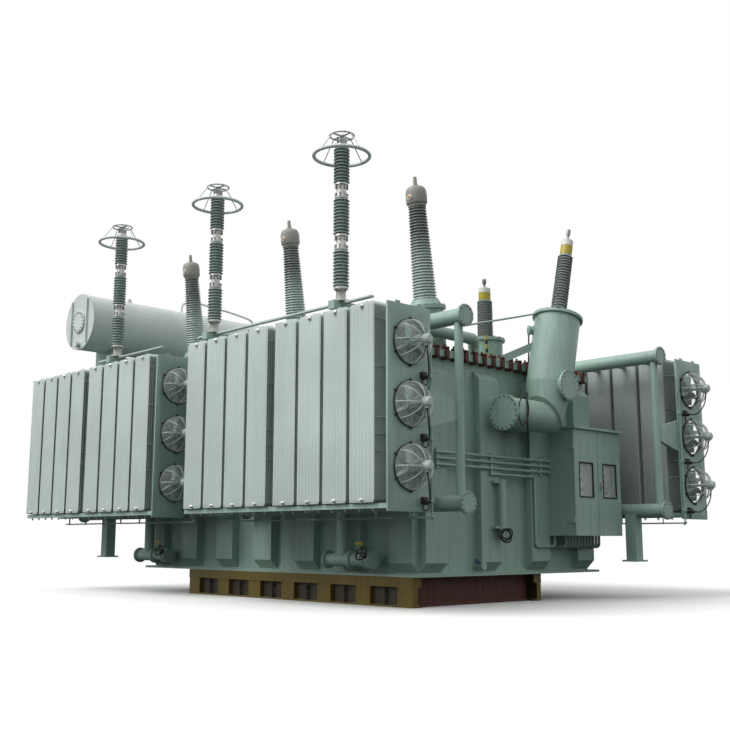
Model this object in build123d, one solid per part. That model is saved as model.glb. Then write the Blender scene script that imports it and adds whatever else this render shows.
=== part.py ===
from build123d import *
import math
import os

os.makedirs("parts", exist_ok=True)

# Power transformer with four radiator banks, on a transport skid.
# Millimetres. The origin is the middle of the skid's underside, +X runs along the tank towards
# the control cabinet, -Y is the front long side, +Z is up.

# Transport skid
SKID_LENGTH = 5900
SKID_WIDTH = 3180
SKID_HEIGHT = 450
SKID_BEAM_WIDTH = 200
SKID_TOP_BAND = 150
SKID_FLANGE = 25
SKID_WEB = 40
SKID_STIFFENERS = 7
SKID_STIFFENER_WIDTH = 330
SKID_STIFFENER_SETBACK = 12
END_BEAM_SETBACK = 130
CROSS_BEAM_WIDTH = 110

# Tank
TANK_LEFT = -4450
TANK_RIGHT = 2900
TANK_FRONT = -1390
TANK_BACK = 3050
TANK_TOP = 3970
COVER_TOP = 4030
FLANGE_OVERHANG = 90
FLANGE_THICKNESS = 60
BASE_PLATE = 40
STIFFENER_WIDTH = 500
STIFFENER_DEPTH = 150
STIFFENER_PITCH = 1150
STIFFENER_FOOT = 60
STIFFENER_HEADROOM = 190
MIDDLE_Y = (TANK_FRONT + TANK_BACK) / 2

# Radiator banks, measured outwards from the tank's middle plane
PANEL_WIDTH = 520
PANEL_PITCH = 571
GROUP_PITCH = 2403
PANELS_PER_GROUP = 4
GROUPS_PER_BANK = 2
PANEL_BOTTOM = 1504
PANEL_TOP = 4306
STACK_OUT = 3987
STACK_DEPTH = 876
FINS = 8
FIN_THICKNESS = 22
RAIL_WIDTH = 110
RAIL_HEIGHT = 60
RAIL_TAIL = 40
FRAME_ANGLE = 70
FRAME_LEG = 12
FRAME_INSET = 60
BANKS = {
    "front_right": dict(side=-1, right_end=3743, overhang=185, cover_link=None, leg=None),
    "front_left": dict(side=-1, right_end=-2102, overhang=185, cover_link=-2335, leg=-5830),
    "back_right": dict(side=1, right_end=4088, overhang=40, cover_link=955, leg=3690),
    "back_left": dict(side=1, right_end=-1757, overhang=40, cover_link=-2335, leg=-5830),
}
BANK_LENGTH = (GROUPS_PER_BANK - 1) * GROUP_PITCH + (PANELS_PER_GROUP - 1) * PANEL_PITCH + PANEL_WIDTH

# Oil headers and their posts
HEADER_OUT = 2540
HEADER_RADIUS = 120
HEADER_TOP_Z = 4276
HEADER_BOTTOM_Z = 1534
HEADER_FLANGE_RADIUS = 165
HEADER_FLANGE_THICKNESS = 40
HEADER_START = 180
STUB_RADIUS = 50
POST_RADIUS = 65
POST_SETBACK = 150
BRACKET_LAP = 60
BRACKET_NARROW = 260
BRACKET_WIDE = 580
LINK_RADIUS = 95
LINK_COVER_OUT = 1960
LINK_COLLAR = 45
LINK_COLLAR_THICKNESS = 30
LINK_BEND = 152
SWAN_BEND = 124
SWAN_NECK = ((3060, -250), (2830, 60))
OIL_PIPE_RADIUS = 105
OIL_FLANGE_RADIUS = 145
OIL_PIPE_Z = 700
OIL_PIPE_Y = -1710
OIL_PIPES = (dict(start=1170, drop=1515, wall=1900, valve=2240),
             dict(start=-4560, drop=-4215, wall=-3810, valve=-3470))
OIL_VALVE_FLANGE = 190
OIL_FLANGE_GAP = 4
VENT_RADIUS = 16
VENT_START_Z = 4120
VENT_AIM = -125
LEG_WIDTH = 210
LEG_BOTTOM = 640
FOOT_SIZE = 320
FOOT_THICKNESS = 30

# Cooling fans, three on each bank's end plate
PLATE_GAP = 263
PLATE_THICKNESS = 30
PLATE_BOTTOM = 1390
PLATE_TOP = 4295
FAN_CENTRES_Z = (2001, 2879, 3757)
FAN_RING_RADIUS = 320
FAN_RING_WALL = 14
FAN_RING_DEPTH = 24
MOTOR_RADIUS = 72
MOTOR_START = 250
MOTOR_END = 400
GUARD_ARMS = 8
GUARD_ARM_WIDTH = 14
GUARD_ARM_SEAT = 30
GUARD_ARM_RADIUS = 55
SHAFT_RADIUS = 24
SHAFT_FIT = 0.05
SHAFT_SEAT = 60
SHAFT_PLAY = 6
ROTOR_TIP_RADIUS = 285
ROTOR_HUB_RADIUS = 62
ROTOR_BLADES = 6
BLADE_PITCH = 32
BLADE_WIDTH = 150
BLADE_THICKNESS = 12
ROTOR_BACK = 85
ROTOR_FRONT = 45

# High-voltage bushings and surge arresters
PHASE_X = (-3980, -690, 2600)
HV_Y = -880
HV_BASE_Z = 4900
HV_LEAN = 6.4
HV_TURRET_RADIUS = 285
HV_FLANGE_LIP = 45
HV_FLANGE_DROP = 170
HV_CONE = 110
HV_CONE_RADIUS = 280
HV_CONE_LIP = 15
HV_PORCELAIN = 1570
HV_ROOT_RADIUS = 205
HV_NECK_RADIUS = 132
HV_DOME_RADIUS = 178
HV_DOME = 350
HV_DOME_SLOPE = 60
HV_PIN_RADIUS = 30
HV_PIN = 170
ARRESTER_INSET = 405
ARRESTER_Y = MIDDLE_Y - STACK_OUT + ARRESTER_INSET
ARRESTER_BASE_Z = 4560
ARRESTER_UNITS = 3
ARRESTER_UNIT = 575
ARRESTER_JOINT = 250
ARRESTER_FOOT = 233
ARRESTER_FOOT_RADIUS = 120
ARRESTER_RADIUS = 127
ARRESTER_JOINT_RADIUS = 100
ARRESTER_CAP = 60
ARRESTER_TERMINAL = 240
ARRESTER_TERMINAL_RADIUS = 22
ARRESTER_STRUTS = 4
ARRESTER_STRUT_RADIUS = 12
ARRESTER_STRUT_START = (70, 40)
ARRESTER_RING_RADIUS = 435
ARRESTER_RING_TUBE = 26
ARRESTER_BEAM = 130
ARRESTER_BEAM_TAIL = 200
ARRESTER_POST_INSET = 10

# Low-voltage side: mitred elbow turret at the right end and a turret on the cover
ELBOW_X = 3450
ELBOW_Z = 3051
ELBOW_FRONT = 87
ELBOW_TURN = 1154
ELBOW_TOP_Z = 4852
ELBOW_LEAN = 14
DRUM_RADIUS = 262
DRUM_LIP = 30
TUBE_RADIUS = 392
TAPER_RISE = 560
TAPER_RADIUS = 268
RIM_THICKNESS = 50
RIM_LIP = 44
BRACE_WIDTH = 130
BRACE_THICKNESS = 24
BRACE_TOP = (3230, 1200, 4330)
BRACE_FOOT = (2945, 620, 4042)
NECK_Y = MIDDLE_Y
NECK_RADIUS = 250
HATCH_Z = 3577
HATCH_RADIUS = 210
HATCH_REACH = 430
HATCH_LIP = 50
HATCH_COVER = 40
COVER_TURRET = (2451, 826)
COVER_TURRET_RADIUS = 300
COVER_TURRET_TOP = 4490
LV_PORCELAIN_RADIUS = 137
LV_TAPER = 12
LV_CAP_STEP = 30
LV_PIN_RADIUS = 26
LV_CAP_SHARE = 0.35
LV_PIN_SHARE = 0.58
ELBOW_PORCELAIN = 860
COVER_PORCELAIN = 620

# Conservator, lying across the left end
CONS_X = -6250
CONS_Z = 5671
CONS_RADIUS = 607
CONS_WALL = 12
CONS_HALF = 3198
CONS_BEAM = 200
CONS_BEAM_OUT = 700
CONS_RIB = 40
CONS_RIB_OUT = 330
CONS_END = 30
CONS_END_LIP = 10
CONS_MANHOLE = 237
CONS_MANHOLE_DEPTH = 40
CONS_CRADLE_TOP = 4690
CONS_CRADLE_INSET = 500
CONS_SADDLE_HALF = 400
CONS_SADDLE_SHARE = 0.6
CONS_SADDLE_OUT = 2480
CONS_BEAM_TAIL = 150
CONS_BEAM_LAP = 900

# Control cabinet on the right end wall
CAB_BACK = TANK_RIGHT + STIFFENER_DEPTH
CAB_FRONT = 3601
CAB_LEFT = 1741
CAB_RIGHT = 3139
CAB_BOTTOM = 1089
CAB_TOP = 2910
CAB_WALL = 20
DOOR_THICKNESS = 30
DOOR_GAP = 6
HINGE_X = CAB_FRONT - 9
HINGE_OUT = 16
HINGE_RADIUS = 14
HINGE_PIN = 7
HINGE_LUG = 34
HINGE_LENGTH = 80
HINGE_LEVELS = (1300, 2560)
HINGE_LUG_LENGTH = 120
HINGE_LEAF = 16
HINGE_PLAY = 2
ROOF_OVERHANG = 60
ROOF_SIDE = 40
ROOF_THICKNESS = 40
PANEL_FACE = 3430
PANEL_SIDE = 60
PANEL_FOOT = 250
PANEL_HEADROOM = 150
WINDOW_WIDTH = 400
WINDOW_BOTTOM = 1750
WINDOW_TOP = 2330
WINDOW_EDGE = 150
GLASS_INSET = 8
GLASS_THICKNESS = 8

# Conduits on the right end wall
CONDUIT_RADIUS = 24
CONDUIT_X = 3086
CONDUIT_LEVELS = (2365, 2268, 2170)
CONDUIT_START = -1200
CONDUIT_BEND = 60
CLIP_YS = (-1140, 173, 1487)
CLIP_WIDTH = 60
CLIP_LIP = 60
SMALL_CLIP_LIP = 30
DOWN_CONDUIT_Z = 2075
DOWN_CONDUIT_Y = (121, 1300)
DOWN_CONDUIT_FOOT = 905
DOWN_CONDUIT_ENTRY = 90
BREATHER = (3150, 340)
BREATHER_RADIUS = 65
BREATHER_Z = (1010, 1990)
BREATHER_BRACKETS = (1215, 1950)
BREATHER_BRACKET_Y = (-170, 80)
BREATHER_BRACKET_HEIGHT = 40
CABINET_CONDUITS = 12
CABINET_CONDUIT_X = 3240
CABINET_CONDUIT_Z = 895
CABINET_CONDUIT_EDGE = 200


def block(x0, x1, y0, y1, z0, z1):
    """A box between two corners."""
    return Pos((x0 + x1) / 2, (y0 + y1) / 2, (z0 + z1) / 2) * Box(x1 - x0, y1 - y0, z1 - z0)


def rod(start, end, radius, end_radius=None):
    """A round bar or cone between two points."""
    start, end = Vector(*start), Vector(*end)
    plane = Plane(origin=start, z_dir=(end - start).normalized())
    low = (Align.CENTER, Align.CENTER, Align.MIN)
    length = (end - start).length
    if end_radius is None or end_radius == radius:
        return plane * Cylinder(radius, length, align=low)
    return plane * Cone(radius, end_radius, length, align=low)


def along(start, direction, distance):
    """The point a distance along a direction from a start."""
    return tuple(s + d * distance for s, d in zip(start, direction))


def lean(degrees):
    """Unit vector leaning from the vertical towards +Y."""
    angle = math.radians(degrees)
    return (0, math.sin(angle), math.cos(angle))


def outward(side, distance):
    """Y of a place measured outwards from the tank's middle plane."""
    return MIDDLE_Y + side * distance


def span(a, b):
    return (a, b) if a < b else (b, a)


def save(name, *shapes):
    """Write one node; several shapes are separate solids of that node."""
    solids = [solid for shape in shapes for solid in shape.solids()]
    node = solids[0] if len(solids) == 1 else Compound(children=solids)
    node.label = name
    export_step(node, f"parts/{name}.step")


# Skid
def skid_side_beam(side):
    """Outer longitudinal beam with a deep top band and flat box stiffeners."""
    half = SKID_LENGTH / 2
    outer = SKID_WIDTH / 2
    inner = outer - SKID_BEAM_WIDTH
    web = outer - SKID_BEAM_WIDTH / 2 + SKID_WEB / 2

    def strip(x0, x1, a, b, z0, z1):
        y0, y1 = span(side * a, side * b)
        return block(x0, x1, y0, y1, z0, z1)

    band_z = SKID_HEIGHT - SKID_TOP_BAND
    beam = strip(-half, half, inner, outer, band_z, SKID_HEIGHT)
    beam += strip(-half, half, inner, outer, 0, SKID_FLANGE)
    beam += strip(-half, half, web - SKID_WEB, web, SKID_FLANGE, band_z)
    pitch = (SKID_LENGTH - SKID_STIFFENER_WIDTH) / (SKID_STIFFENERS - 1)
    for i in range(SKID_STIFFENERS):
        x = -half + i * pitch
        beam += strip(x, x + SKID_STIFFENER_WIDTH, web, outer - SKID_STIFFENER_SETBACK, SKID_FLANGE, band_z)
    return beam


def i_beam_y(x, y0, y1):
    """Cross beam along Y."""
    w = CROSS_BEAM_WIDTH / 2
    beam = block(x - w, x + w, y0, y1, SKID_HEIGHT - SKID_FLANGE, SKID_HEIGHT)
    beam += block(x - w, x + w, y0, y1, 0, SKID_FLANGE)
    return beam + block(x - SKID_WEB / 2, x + SKID_WEB / 2, y0, y1, SKID_FLANGE, SKID_HEIGHT - SKID_FLANGE)


def make_skid():
    inner = SKID_WIDTH / 2 - SKID_BEAM_WIDTH
    end_x = SKID_LENGTH / 2 - END_BEAM_SETBACK - CROSS_BEAM_WIDTH / 2
    middle_end = end_x - CROSS_BEAM_WIDTH / 2
    half_width = SKID_BEAM_WIDTH / 2
    save("skid_front_beam", skid_side_beam(-1))
    save("skid_back_beam", skid_side_beam(1))
    middle = block(-middle_end, middle_end, -half_width, half_width, SKID_HEIGHT - SKID_FLANGE, SKID_HEIGHT)
    middle += block(-middle_end, middle_end, -half_width, half_width, 0, SKID_FLANGE)
    middle += block(-middle_end, middle_end, -SKID_WEB / 2, SKID_WEB / 2,
                    SKID_FLANGE, SKID_HEIGHT - SKID_FLANGE)
    save("skid_end_beams", i_beam_y(end_x, -inner, inner), i_beam_y(-end_x, -inner, inner))
    for x in (-end_x / 3, end_x / 3):
        middle += i_beam_y(x, -inner, inner)
    save("skid_inner_beams", middle)


# Tank
def wall_stiffener(width):
    """Box stiffener with sloping ends: along X, standing out to -Y from Y = 0."""
    foot = SKID_HEIGHT + STIFFENER_FOOT
    head = TANK_TOP - STIFFENER_HEADROOM
    slope = STIFFENER_DEPTH
    with BuildSketch(Plane.YZ) as profile:
        with BuildLine():
            Polyline((0, foot), (-STIFFENER_DEPTH, foot + slope), (-STIFFENER_DEPTH, head - slope), (0, head),
                     close=True)
        make_face()
    return extrude(profile.sketch, width)


def stiffener_starts(low, high):
    """Starts of the stiffeners along a wall, the last one closing on the far corner."""
    count = round((high - low - STIFFENER_WIDTH) / STIFFENER_PITCH)
    step = (high - low - STIFFENER_WIDTH) / count
    return [low + i * step for i in range(count + 1)]


def make_tank():
    body = block(TANK_LEFT, TANK_RIGHT, TANK_FRONT, TANK_BACK, SKID_HEIGHT, TANK_TOP)
    over = FLANGE_OVERHANG
    flange = (TANK_LEFT - over, TANK_RIGHT + over, TANK_FRONT - over, TANK_BACK + over)
    body += block(*flange, TANK_TOP - FLANGE_THICKNESS, TANK_TOP)
    deep = STIFFENER_DEPTH
    body += block(TANK_LEFT - deep, TANK_RIGHT + deep, TANK_FRONT - deep, TANK_BACK + deep,
                  SKID_HEIGHT, SKID_HEIGHT + BASE_PLATE)
    save("tank_body", body)
    cover = block(*flange, TANK_TOP, COVER_TOP)
    save("tank_cover", cover)
    rib = wall_stiffener(STIFFENER_WIDTH)
    front, back, right, left = [], [], [], []
    for x in stiffener_starts(TANK_LEFT, TANK_RIGHT):
        front.append(Pos(x, TANK_FRONT, 0) * rib)
        back.append(Pos(x + STIFFENER_WIDTH, TANK_BACK, 0) * Rot(0, 0, 180) * rib)
    for y in stiffener_starts(TANK_FRONT, TANK_BACK):
        right.append(Pos(TANK_RIGHT, y, 0) * Rot(0, 0, 90) * rib)
        left.append(Pos(TANK_LEFT, y + STIFFENER_WIDTH, 0) * Rot(0, 0, -90) * rib)
    save("front_stiffeners", *front)
    save("back_stiffeners", *back)
    save("end_stiffeners", *right, *left)


# Radiator banks
def panel_centres(right_end):
    """X of each radiator's middle, from the right end of its bank."""
    return [right_end - PANEL_WIDTH / 2 - group * GROUP_PITCH - i * PANEL_PITCH
            for group in range(GROUPS_PER_BANK) for i in range(PANELS_PER_GROUP)]


def radiator(side):
    """One radiator at X = 0: a stack of flat fins between a top and a bottom rail."""
    inner = STACK_OUT - STACK_DEPTH
    step = (STACK_DEPTH - FIN_THICKNESS) / (FINS - 1)
    low, high = PANEL_BOTTOM + RAIL_HEIGHT, PANEL_TOP - RAIL_HEIGHT
    y0, y1 = span(outward(side, inner - RAIL_TAIL), outward(side, STACK_OUT))
    half_rail = RAIL_WIDTH / 2
    body = block(-half_rail, half_rail, y0, y1, PANEL_BOTTOM, low)
    body += block(-half_rail, half_rail, y0, y1, high, PANEL_TOP)
    for i in range(FINS):
        a, b = span(outward(side, inner + i * step), outward(side, inner + i * step + FIN_THICKNESS))
        body += block(-PANEL_WIDTH / 2, PANEL_WIDTH / 2, a, b, low, high)
    return body


def header(bank, z):
    """Oil header along a bank, with a blank flange at both ends."""
    side, right_end = bank["side"], bank["right_end"]
    y = outward(side, HEADER_OUT)
    x1 = right_end + PLATE_GAP + bank["overhang"]
    x0 = right_end - BANK_LENGTH - HEADER_START
    pipe = rod((x0, y, z), (x1, y, z), HEADER_RADIUS)
    thick = HEADER_FLANGE_THICKNESS
    pipe += rod((x1 - thick, y, z), (x1, y, z), HEADER_FLANGE_RADIUS)
    return pipe + rod((x0, y, z), (x0 + thick, y, z), HEADER_FLANGE_RADIUS)


def header_stub(side, z):
    """Short pipe at X = 0 from a header to the tail of one radiator's rail."""
    y = outward(side, HEADER_OUT)
    rail_end = outward(side, STACK_OUT - STACK_DEPTH - RAIL_TAIL)
    reach = 2 * STUB_RADIUS
    return rod((0, y, z), (0, rail_end, z), STUB_RADIUS) - rod((-reach, y, z), (reach, y, z), HEADER_RADIUS)


def plate_bracket(bank, post_x):
    """Tapered bracket from a post to the face of the fan plate beside it."""
    side = bank["side"]
    front = bank["right_end"] + PLATE_GAP
    x0, x1 = (front, post_x) if post_x > front else (post_x, front - PLATE_THICKNESS)
    post_y = outward(side, HEADER_OUT)
    plate_y = outward(side, STACK_OUT - STACK_DEPTH + BRACKET_LAP)
    middle = FAN_CENTRES_Z[1]
    with BuildSketch(Plane.YZ) as profile:
        with BuildLine():
            Polyline((post_y, middle - BRACKET_NARROW / 2), (plate_y, middle - BRACKET_WIDE / 2),
                     (plate_y, middle + BRACKET_WIDE / 2), (post_y, middle + BRACKET_NARROW / 2), close=True)
        make_face()
    return Pos(x0, 0, 0) * extrude(profile.sketch, x1 - x0)


def header_posts(bank, top, bottom):
    """Round posts between the two headers of a bank, and the bracket from the right one to the fan plate."""
    y = outward(bank["side"], HEADER_OUT)
    right = bank["right_end"] + PLATE_GAP + bank["overhang"] - POST_SETBACK
    left = bank["right_end"] - BANK_LENGTH - HEADER_START + POST_SETBACK
    posts = [rod((x, y, HEADER_BOTTOM_Z), (x, y, HEADER_TOP_Z), POST_RADIUS) - top - bottom
             for x in (left, right)]
    return posts, plate_bracket(bank, right) - posts[1]


def radiator_frame(bank):
    """Two angles below a bank, from its far end to the back of the fan plate."""
    x0 = bank["right_end"] - BANK_LENGTH - RAIL_TAIL
    x1 = bank["right_end"] + PLATE_GAP - PLATE_THICKNESS
    angles = []
    for out, turn in ((STACK_OUT - FRAME_INSET, -1), (STACK_OUT - STACK_DEPTH + FRAME_INSET, 1)):
        y = outward(bank["side"], out)
        y0, y1 = span(y, y + turn * bank["side"] * FRAME_ANGLE)
        w0, w1 = span(y, y + turn * bank["side"] * FRAME_LEG)
        angle = block(x0, x1, y0, y1, PANEL_BOTTOM - FRAME_LEG, PANEL_BOTTOM)
        angles.append(angle + block(x0, x1, w0, w1, PANEL_BOTTOM - FRAME_ANGLE, PANEL_BOTTOM - FRAME_LEG))
    return angles


def link_places(bank):
    """X of the pipes between a bank's bottom header and the tank, clear of the wall stiffeners."""
    half = STIFFENER_WIDTH / 2
    starts = stiffener_starts(TANK_LEFT, TANK_RIGHT)
    gaps = [(a + STIFFENER_WIDTH + b) / 2 for a, b in zip(starts, starts[1:])]
    low = bank["right_end"] - BANK_LENGTH + half
    high = bank["right_end"] - half
    reachable = [x for x in gaps if low < x < high]
    return reachable[0], reachable[-1]


def cover_link(bank, top):
    """Pipe from the top header that bends down onto the tank cover."""
    side, x = bank["side"], bank["cover_link"]
    start = (x, outward(side, HEADER_OUT), HEADER_TOP_Z)
    corner = (x, outward(side, LINK_COVER_OUT), HEADER_TOP_Z)
    foot = (x, outward(side, LINK_COVER_OUT), COVER_TOP)
    path = FilletPolyline(start, corner, foot, radius=LINK_BEND)
    pipe = sweep(Plane(origin=start, z_dir=(0, -side, 0)) * Circle(LINK_RADIUS), path=path)
    pipe += rod(foot, along(foot, (0, 0, 1), LINK_COLLAR_THICKNESS), LINK_RADIUS + LINK_COLLAR)
    return pipe - top


def swan_neck(bank, top):
    """Pipe from the right end of the front top header, round the last turret and down onto the cover."""
    (x0, y0), (x1, y1) = SWAN_NECK
    start = (x0, outward(bank["side"], HEADER_OUT), HEADER_TOP_Z)
    foot = (x1, y1, COVER_TOP)
    path = FilletPolyline(start, (x0, y0, HEADER_TOP_Z), (x1, y1, HEADER_TOP_Z), foot, radius=SWAN_BEND)
    pipe = sweep(Plane(origin=start, z_dir=(0, 1, 0)) * Circle(LINK_RADIUS), path=path)
    pipe += rod(foot, along(foot, (0, 0, 1), LINK_COLLAR_THICKNESS), LINK_RADIUS + LINK_COLLAR)
    return pipe - top


def oil_pipe(places, bottom):
    """Drain line below a front bank: a drop from the bottom header, a run with flanges and a valve, and
    a branch into the tank wall."""
    y, z = OIL_PIPE_Y, OIL_PIPE_Z
    pipe = rod((places["start"], y, z), (places["valve"], y, z), OIL_PIPE_RADIUS)
    pipe += rod((places["drop"], y, z), (places["drop"], y, HEADER_BOTTOM_Z), LINK_RADIUS)
    pipe += rod((places["wall"], y, z), (places["wall"], TANK_FRONT, z), LINK_RADIUS)
    thick = HEADER_FLANGE_THICKNESS
    middle = (places["drop"] + places["wall"]) / 2
    for x in (places["start"], middle, middle + thick + OIL_FLANGE_GAP, places["wall"] + OIL_VALVE_FLANGE,
              places["valve"] - thick):
        pipe += rod((x, y, z), (x + thick, y, z), OIL_FLANGE_RADIUS)
    return pipe - bottom


def vent_pipe():
    """Thin pipe from the front header's right post up to the rim of the elbow turret."""
    bank = BANKS["front_right"]
    x = bank["right_end"] + PLATE_GAP + bank["overhang"] - POST_SETBACK
    y = outward(bank["side"], HEADER_OUT)
    axis = lean(ELBOW_LEAN)
    rim = along((ELBOW_X, ELBOW_TURN, ELBOW_Z), axis, (ELBOW_TOP_Z - ELBOW_Z) / axis[2] - RIM_THICKNESS / 2)
    aim = math.radians(VENT_AIM)
    reach = TUBE_RADIUS
    across = reach * math.sin(aim)
    end = (rim[0] + reach * math.cos(aim), rim[1] + across, rim[2] - across * axis[1])
    half = RIM_THICKNESS / 2
    pipe = rod((x, y, VENT_START_Z), end, VENT_RADIUS)
    pipe -= rod((x, y, HEADER_BOTTOM_Z), (x, y, HEADER_TOP_Z), POST_RADIUS)
    return pipe - rod(along(rim, axis, -half), along(rim, axis, half), TUBE_RADIUS + RIM_LIP)


def wall_link(bank, x, bottom):
    """Straight pipe from the bottom header to the tank wall."""
    side = bank["side"]
    y = outward(side, HEADER_OUT)
    wall = outward(side, MIDDLE_Y - TANK_FRONT)
    pipe = rod((x, wall, HEADER_BOTTOM_Z), (x, y, HEADER_BOTTOM_Z), LINK_RADIUS)
    collar_end = (x, wall + side * LINK_COLLAR_THICKNESS, HEADER_BOTTOM_Z)
    pipe += rod((x, wall, HEADER_BOTTOM_Z), collar_end, LINK_RADIUS + LINK_COLLAR)
    return pipe - bottom


def support_leg(bank, x, bottom):
    """Square leg below a bottom header, with a foot plate for a site pier."""
    y = outward(bank["side"], HEADER_OUT)
    half, foot = LEG_WIDTH / 2, FOOT_SIZE / 2
    leg = block(x - half, x + half, y - half, y + half, LEG_BOTTOM + FOOT_THICKNESS, HEADER_BOTTOM_Z) - bottom
    leg = max(leg.solids(), key=lambda solid: solid.volume)
    return leg + block(x - foot, x + foot, y - foot, y + foot, LEG_BOTTOM, LEG_BOTTOM + FOOT_THICKNESS)


def make_banks():
    tops, bottoms, posts, brackets, links, legs, stubs, frames = [], [], [], [], [], [], [], []
    for name, bank in BANKS.items():
        one = radiator(bank["side"])
        save(f"radiators_{name}", *[Pos(x, 0, 0) * one for x in panel_centres(bank["right_end"])])
        top, bottom = header(bank, HEADER_TOP_Z), header(bank, HEADER_BOTTOM_Z)
        tops.append(top)
        bottoms.append(bottom)
        pair, bracket = header_posts(bank, top, bottom)
        posts += pair
        brackets.append(bracket)
        for z in (HEADER_TOP_Z, HEADER_BOTTOM_Z):
            stub = header_stub(bank["side"], z)
            stubs += [Pos(x, 0, 0) * stub for x in panel_centres(bank["right_end"])]
        frames += radiator_frame(bank)
        links.append(swan_neck(bank, top) if bank["cover_link"] is None else cover_link(bank, top))
        links += [wall_link(bank, x, bottom) for x in link_places(bank)]
        if bank["leg"] is not None:
            legs.append(support_leg(bank, bank["leg"], bottom))
    for places, bottom in zip(OIL_PIPES, bottoms):
        links.append(oil_pipe(places, bottom))
    links.append(vent_pipe())
    save("top_headers", *tops)
    save("bottom_headers", *bottoms)
    save("header_posts", *posts)
    save("plate_brackets", *brackets)
    save("radiator_stubs", *stubs)
    save("radiator_frames", *frames)
    save("header_links", *links)
    save("support_legs", *legs)


# Cooling fans
def fan_plate(bank):
    """End plate of a bank with three ringed openings, a motor held on arms before each."""
    side = bank["side"]
    x = bank["right_end"] + PLATE_GAP
    y0, y1 = span(outward(side, STACK_OUT - STACK_DEPTH), outward(side, STACK_OUT))
    y = (y0 + y1) / 2
    plate = block(x - PLATE_THICKNESS, x, y0, y1, PLATE_BOTTOM, PLATE_TOP)
    bore = FAN_RING_RADIUS - FAN_RING_WALL
    for z in FAN_CENTRES_Z:
        ring = rod((x - PLATE_THICKNESS, y, z), (x + FAN_RING_DEPTH, y, z), FAN_RING_RADIUS)
        plate += ring
        plate -= rod((x - 2 * PLATE_THICKNESS, y, z), (x + 2 * FAN_RING_DEPTH, y, z), bore)
        motor = rod((x + MOTOR_START, y, z), (x + MOTOR_END, y, z), MOTOR_RADIUS)
        for i in range(GUARD_ARMS):
            angle = math.radians(360 / GUARD_ARMS * (i + 0.5))
            reach = FAN_RING_RADIUS - FAN_RING_WALL / 2
            c, s = math.cos(angle), math.sin(angle)
            foot = (x + FAN_RING_DEPTH - GUARD_ARM_WIDTH / 2, y + reach * c, z + reach * s)
            tip = (x + MOTOR_START + GUARD_ARM_SEAT, y + GUARD_ARM_RADIUS * c, z + GUARD_ARM_RADIUS * s)
            motor += rod(foot, tip, GUARD_ARM_WIDTH / 2)
        socket_end = x + MOTOR_START + SHAFT_SEAT + SHAFT_PLAY
        plate += motor - rod((x + MOTOR_START - 1, y, z), (socket_end, y, z), SHAFT_RADIUS + SHAFT_FIT)
    return plate


def fan_rotor(bank, z):
    """Hub, shaft and pitched blades, turning about X inside its ring."""
    x = bank["right_end"] + PLATE_GAP
    y = outward(bank["side"], STACK_OUT - STACK_DEPTH / 2)
    rotor = rod((x - ROTOR_BACK, y, z), (x + ROTOR_FRONT, y, z), ROTOR_HUB_RADIUS)
    rotor += rod((x + ROTOR_FRONT, y, z), (x + MOTOR_START + SHAFT_SEAT, y, z), SHAFT_RADIUS)
    root = ROTOR_HUB_RADIUS / 2
    reach = ROTOR_TIP_RADIUS - root
    blade = Pos(0, 0, root + reach / 2) * Box(BLADE_THICKNESS, BLADE_WIDTH, reach)
    middle = x + (ROTOR_FRONT - ROTOR_BACK) / 2
    for i in range(ROTOR_BLADES):
        rotor += Pos(middle, y, z) * Rot(360 / ROTOR_BLADES * i, 0, 0) * Rot(0, 0, BLADE_PITCH) * blade
    return rotor


def make_fans():
    for name, bank in BANKS.items():
        save(f"fan_plate_{name}", fan_plate(bank))
        for level, z in zip(("low", "middle", "high"), FAN_CENTRES_Z):
            save(f"rotor_{name}_{level}", fan_rotor(bank, z))


# High-voltage bushings
def make_hv_bushings():
    axis = lean(-HV_LEAN)
    turrets, porcelains, heads = [], [], []
    for x in PHASE_X:
        base = (x, HV_Y, HV_BASE_Z)
        reach = 2 * HV_TURRET_RADIUS
        foot = along(base, axis, (COVER_TOP - HV_BASE_Z) / axis[2] - HV_TURRET_RADIUS / 2)
        flange, cone = along(base, axis, -HV_FLANGE_DROP), along(base, axis, -HV_CONE)
        turret = rod(foot, flange, HV_TURRET_RADIUS)
        turret += rod(flange, cone, HV_TURRET_RADIUS + HV_FLANGE_LIP)
        turret += rod(cone, base, HV_CONE_RADIUS, HV_ROOT_RADIUS + HV_CONE_LIP)
        turret -= block(x - reach, x + reach, HV_Y - reach, HV_Y + reach, COVER_TOP - reach, COVER_TOP)
        turrets.append(turret)
        top = along(base, axis, HV_PORCELAIN)
        porcelains.append(rod(base, top, HV_ROOT_RADIUS, HV_NECK_RADIUS))
        shoulder, crown = along(top, axis, HV_DOME - HV_DOME_SLOPE), along(top, axis, HV_DOME)
        head = rod(top, shoulder, HV_DOME_RADIUS)
        head += rod(shoulder, crown, HV_DOME_RADIUS, HV_DOME_RADIUS - HV_DOME_SLOPE)
        head += rod(crown, along(crown, axis, HV_PIN), HV_PIN_RADIUS)
        heads.append(head)
    save("hv_turrets", *turrets)
    save("hv_porcelains", *porcelains)
    save("hv_heads", *heads)


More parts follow.
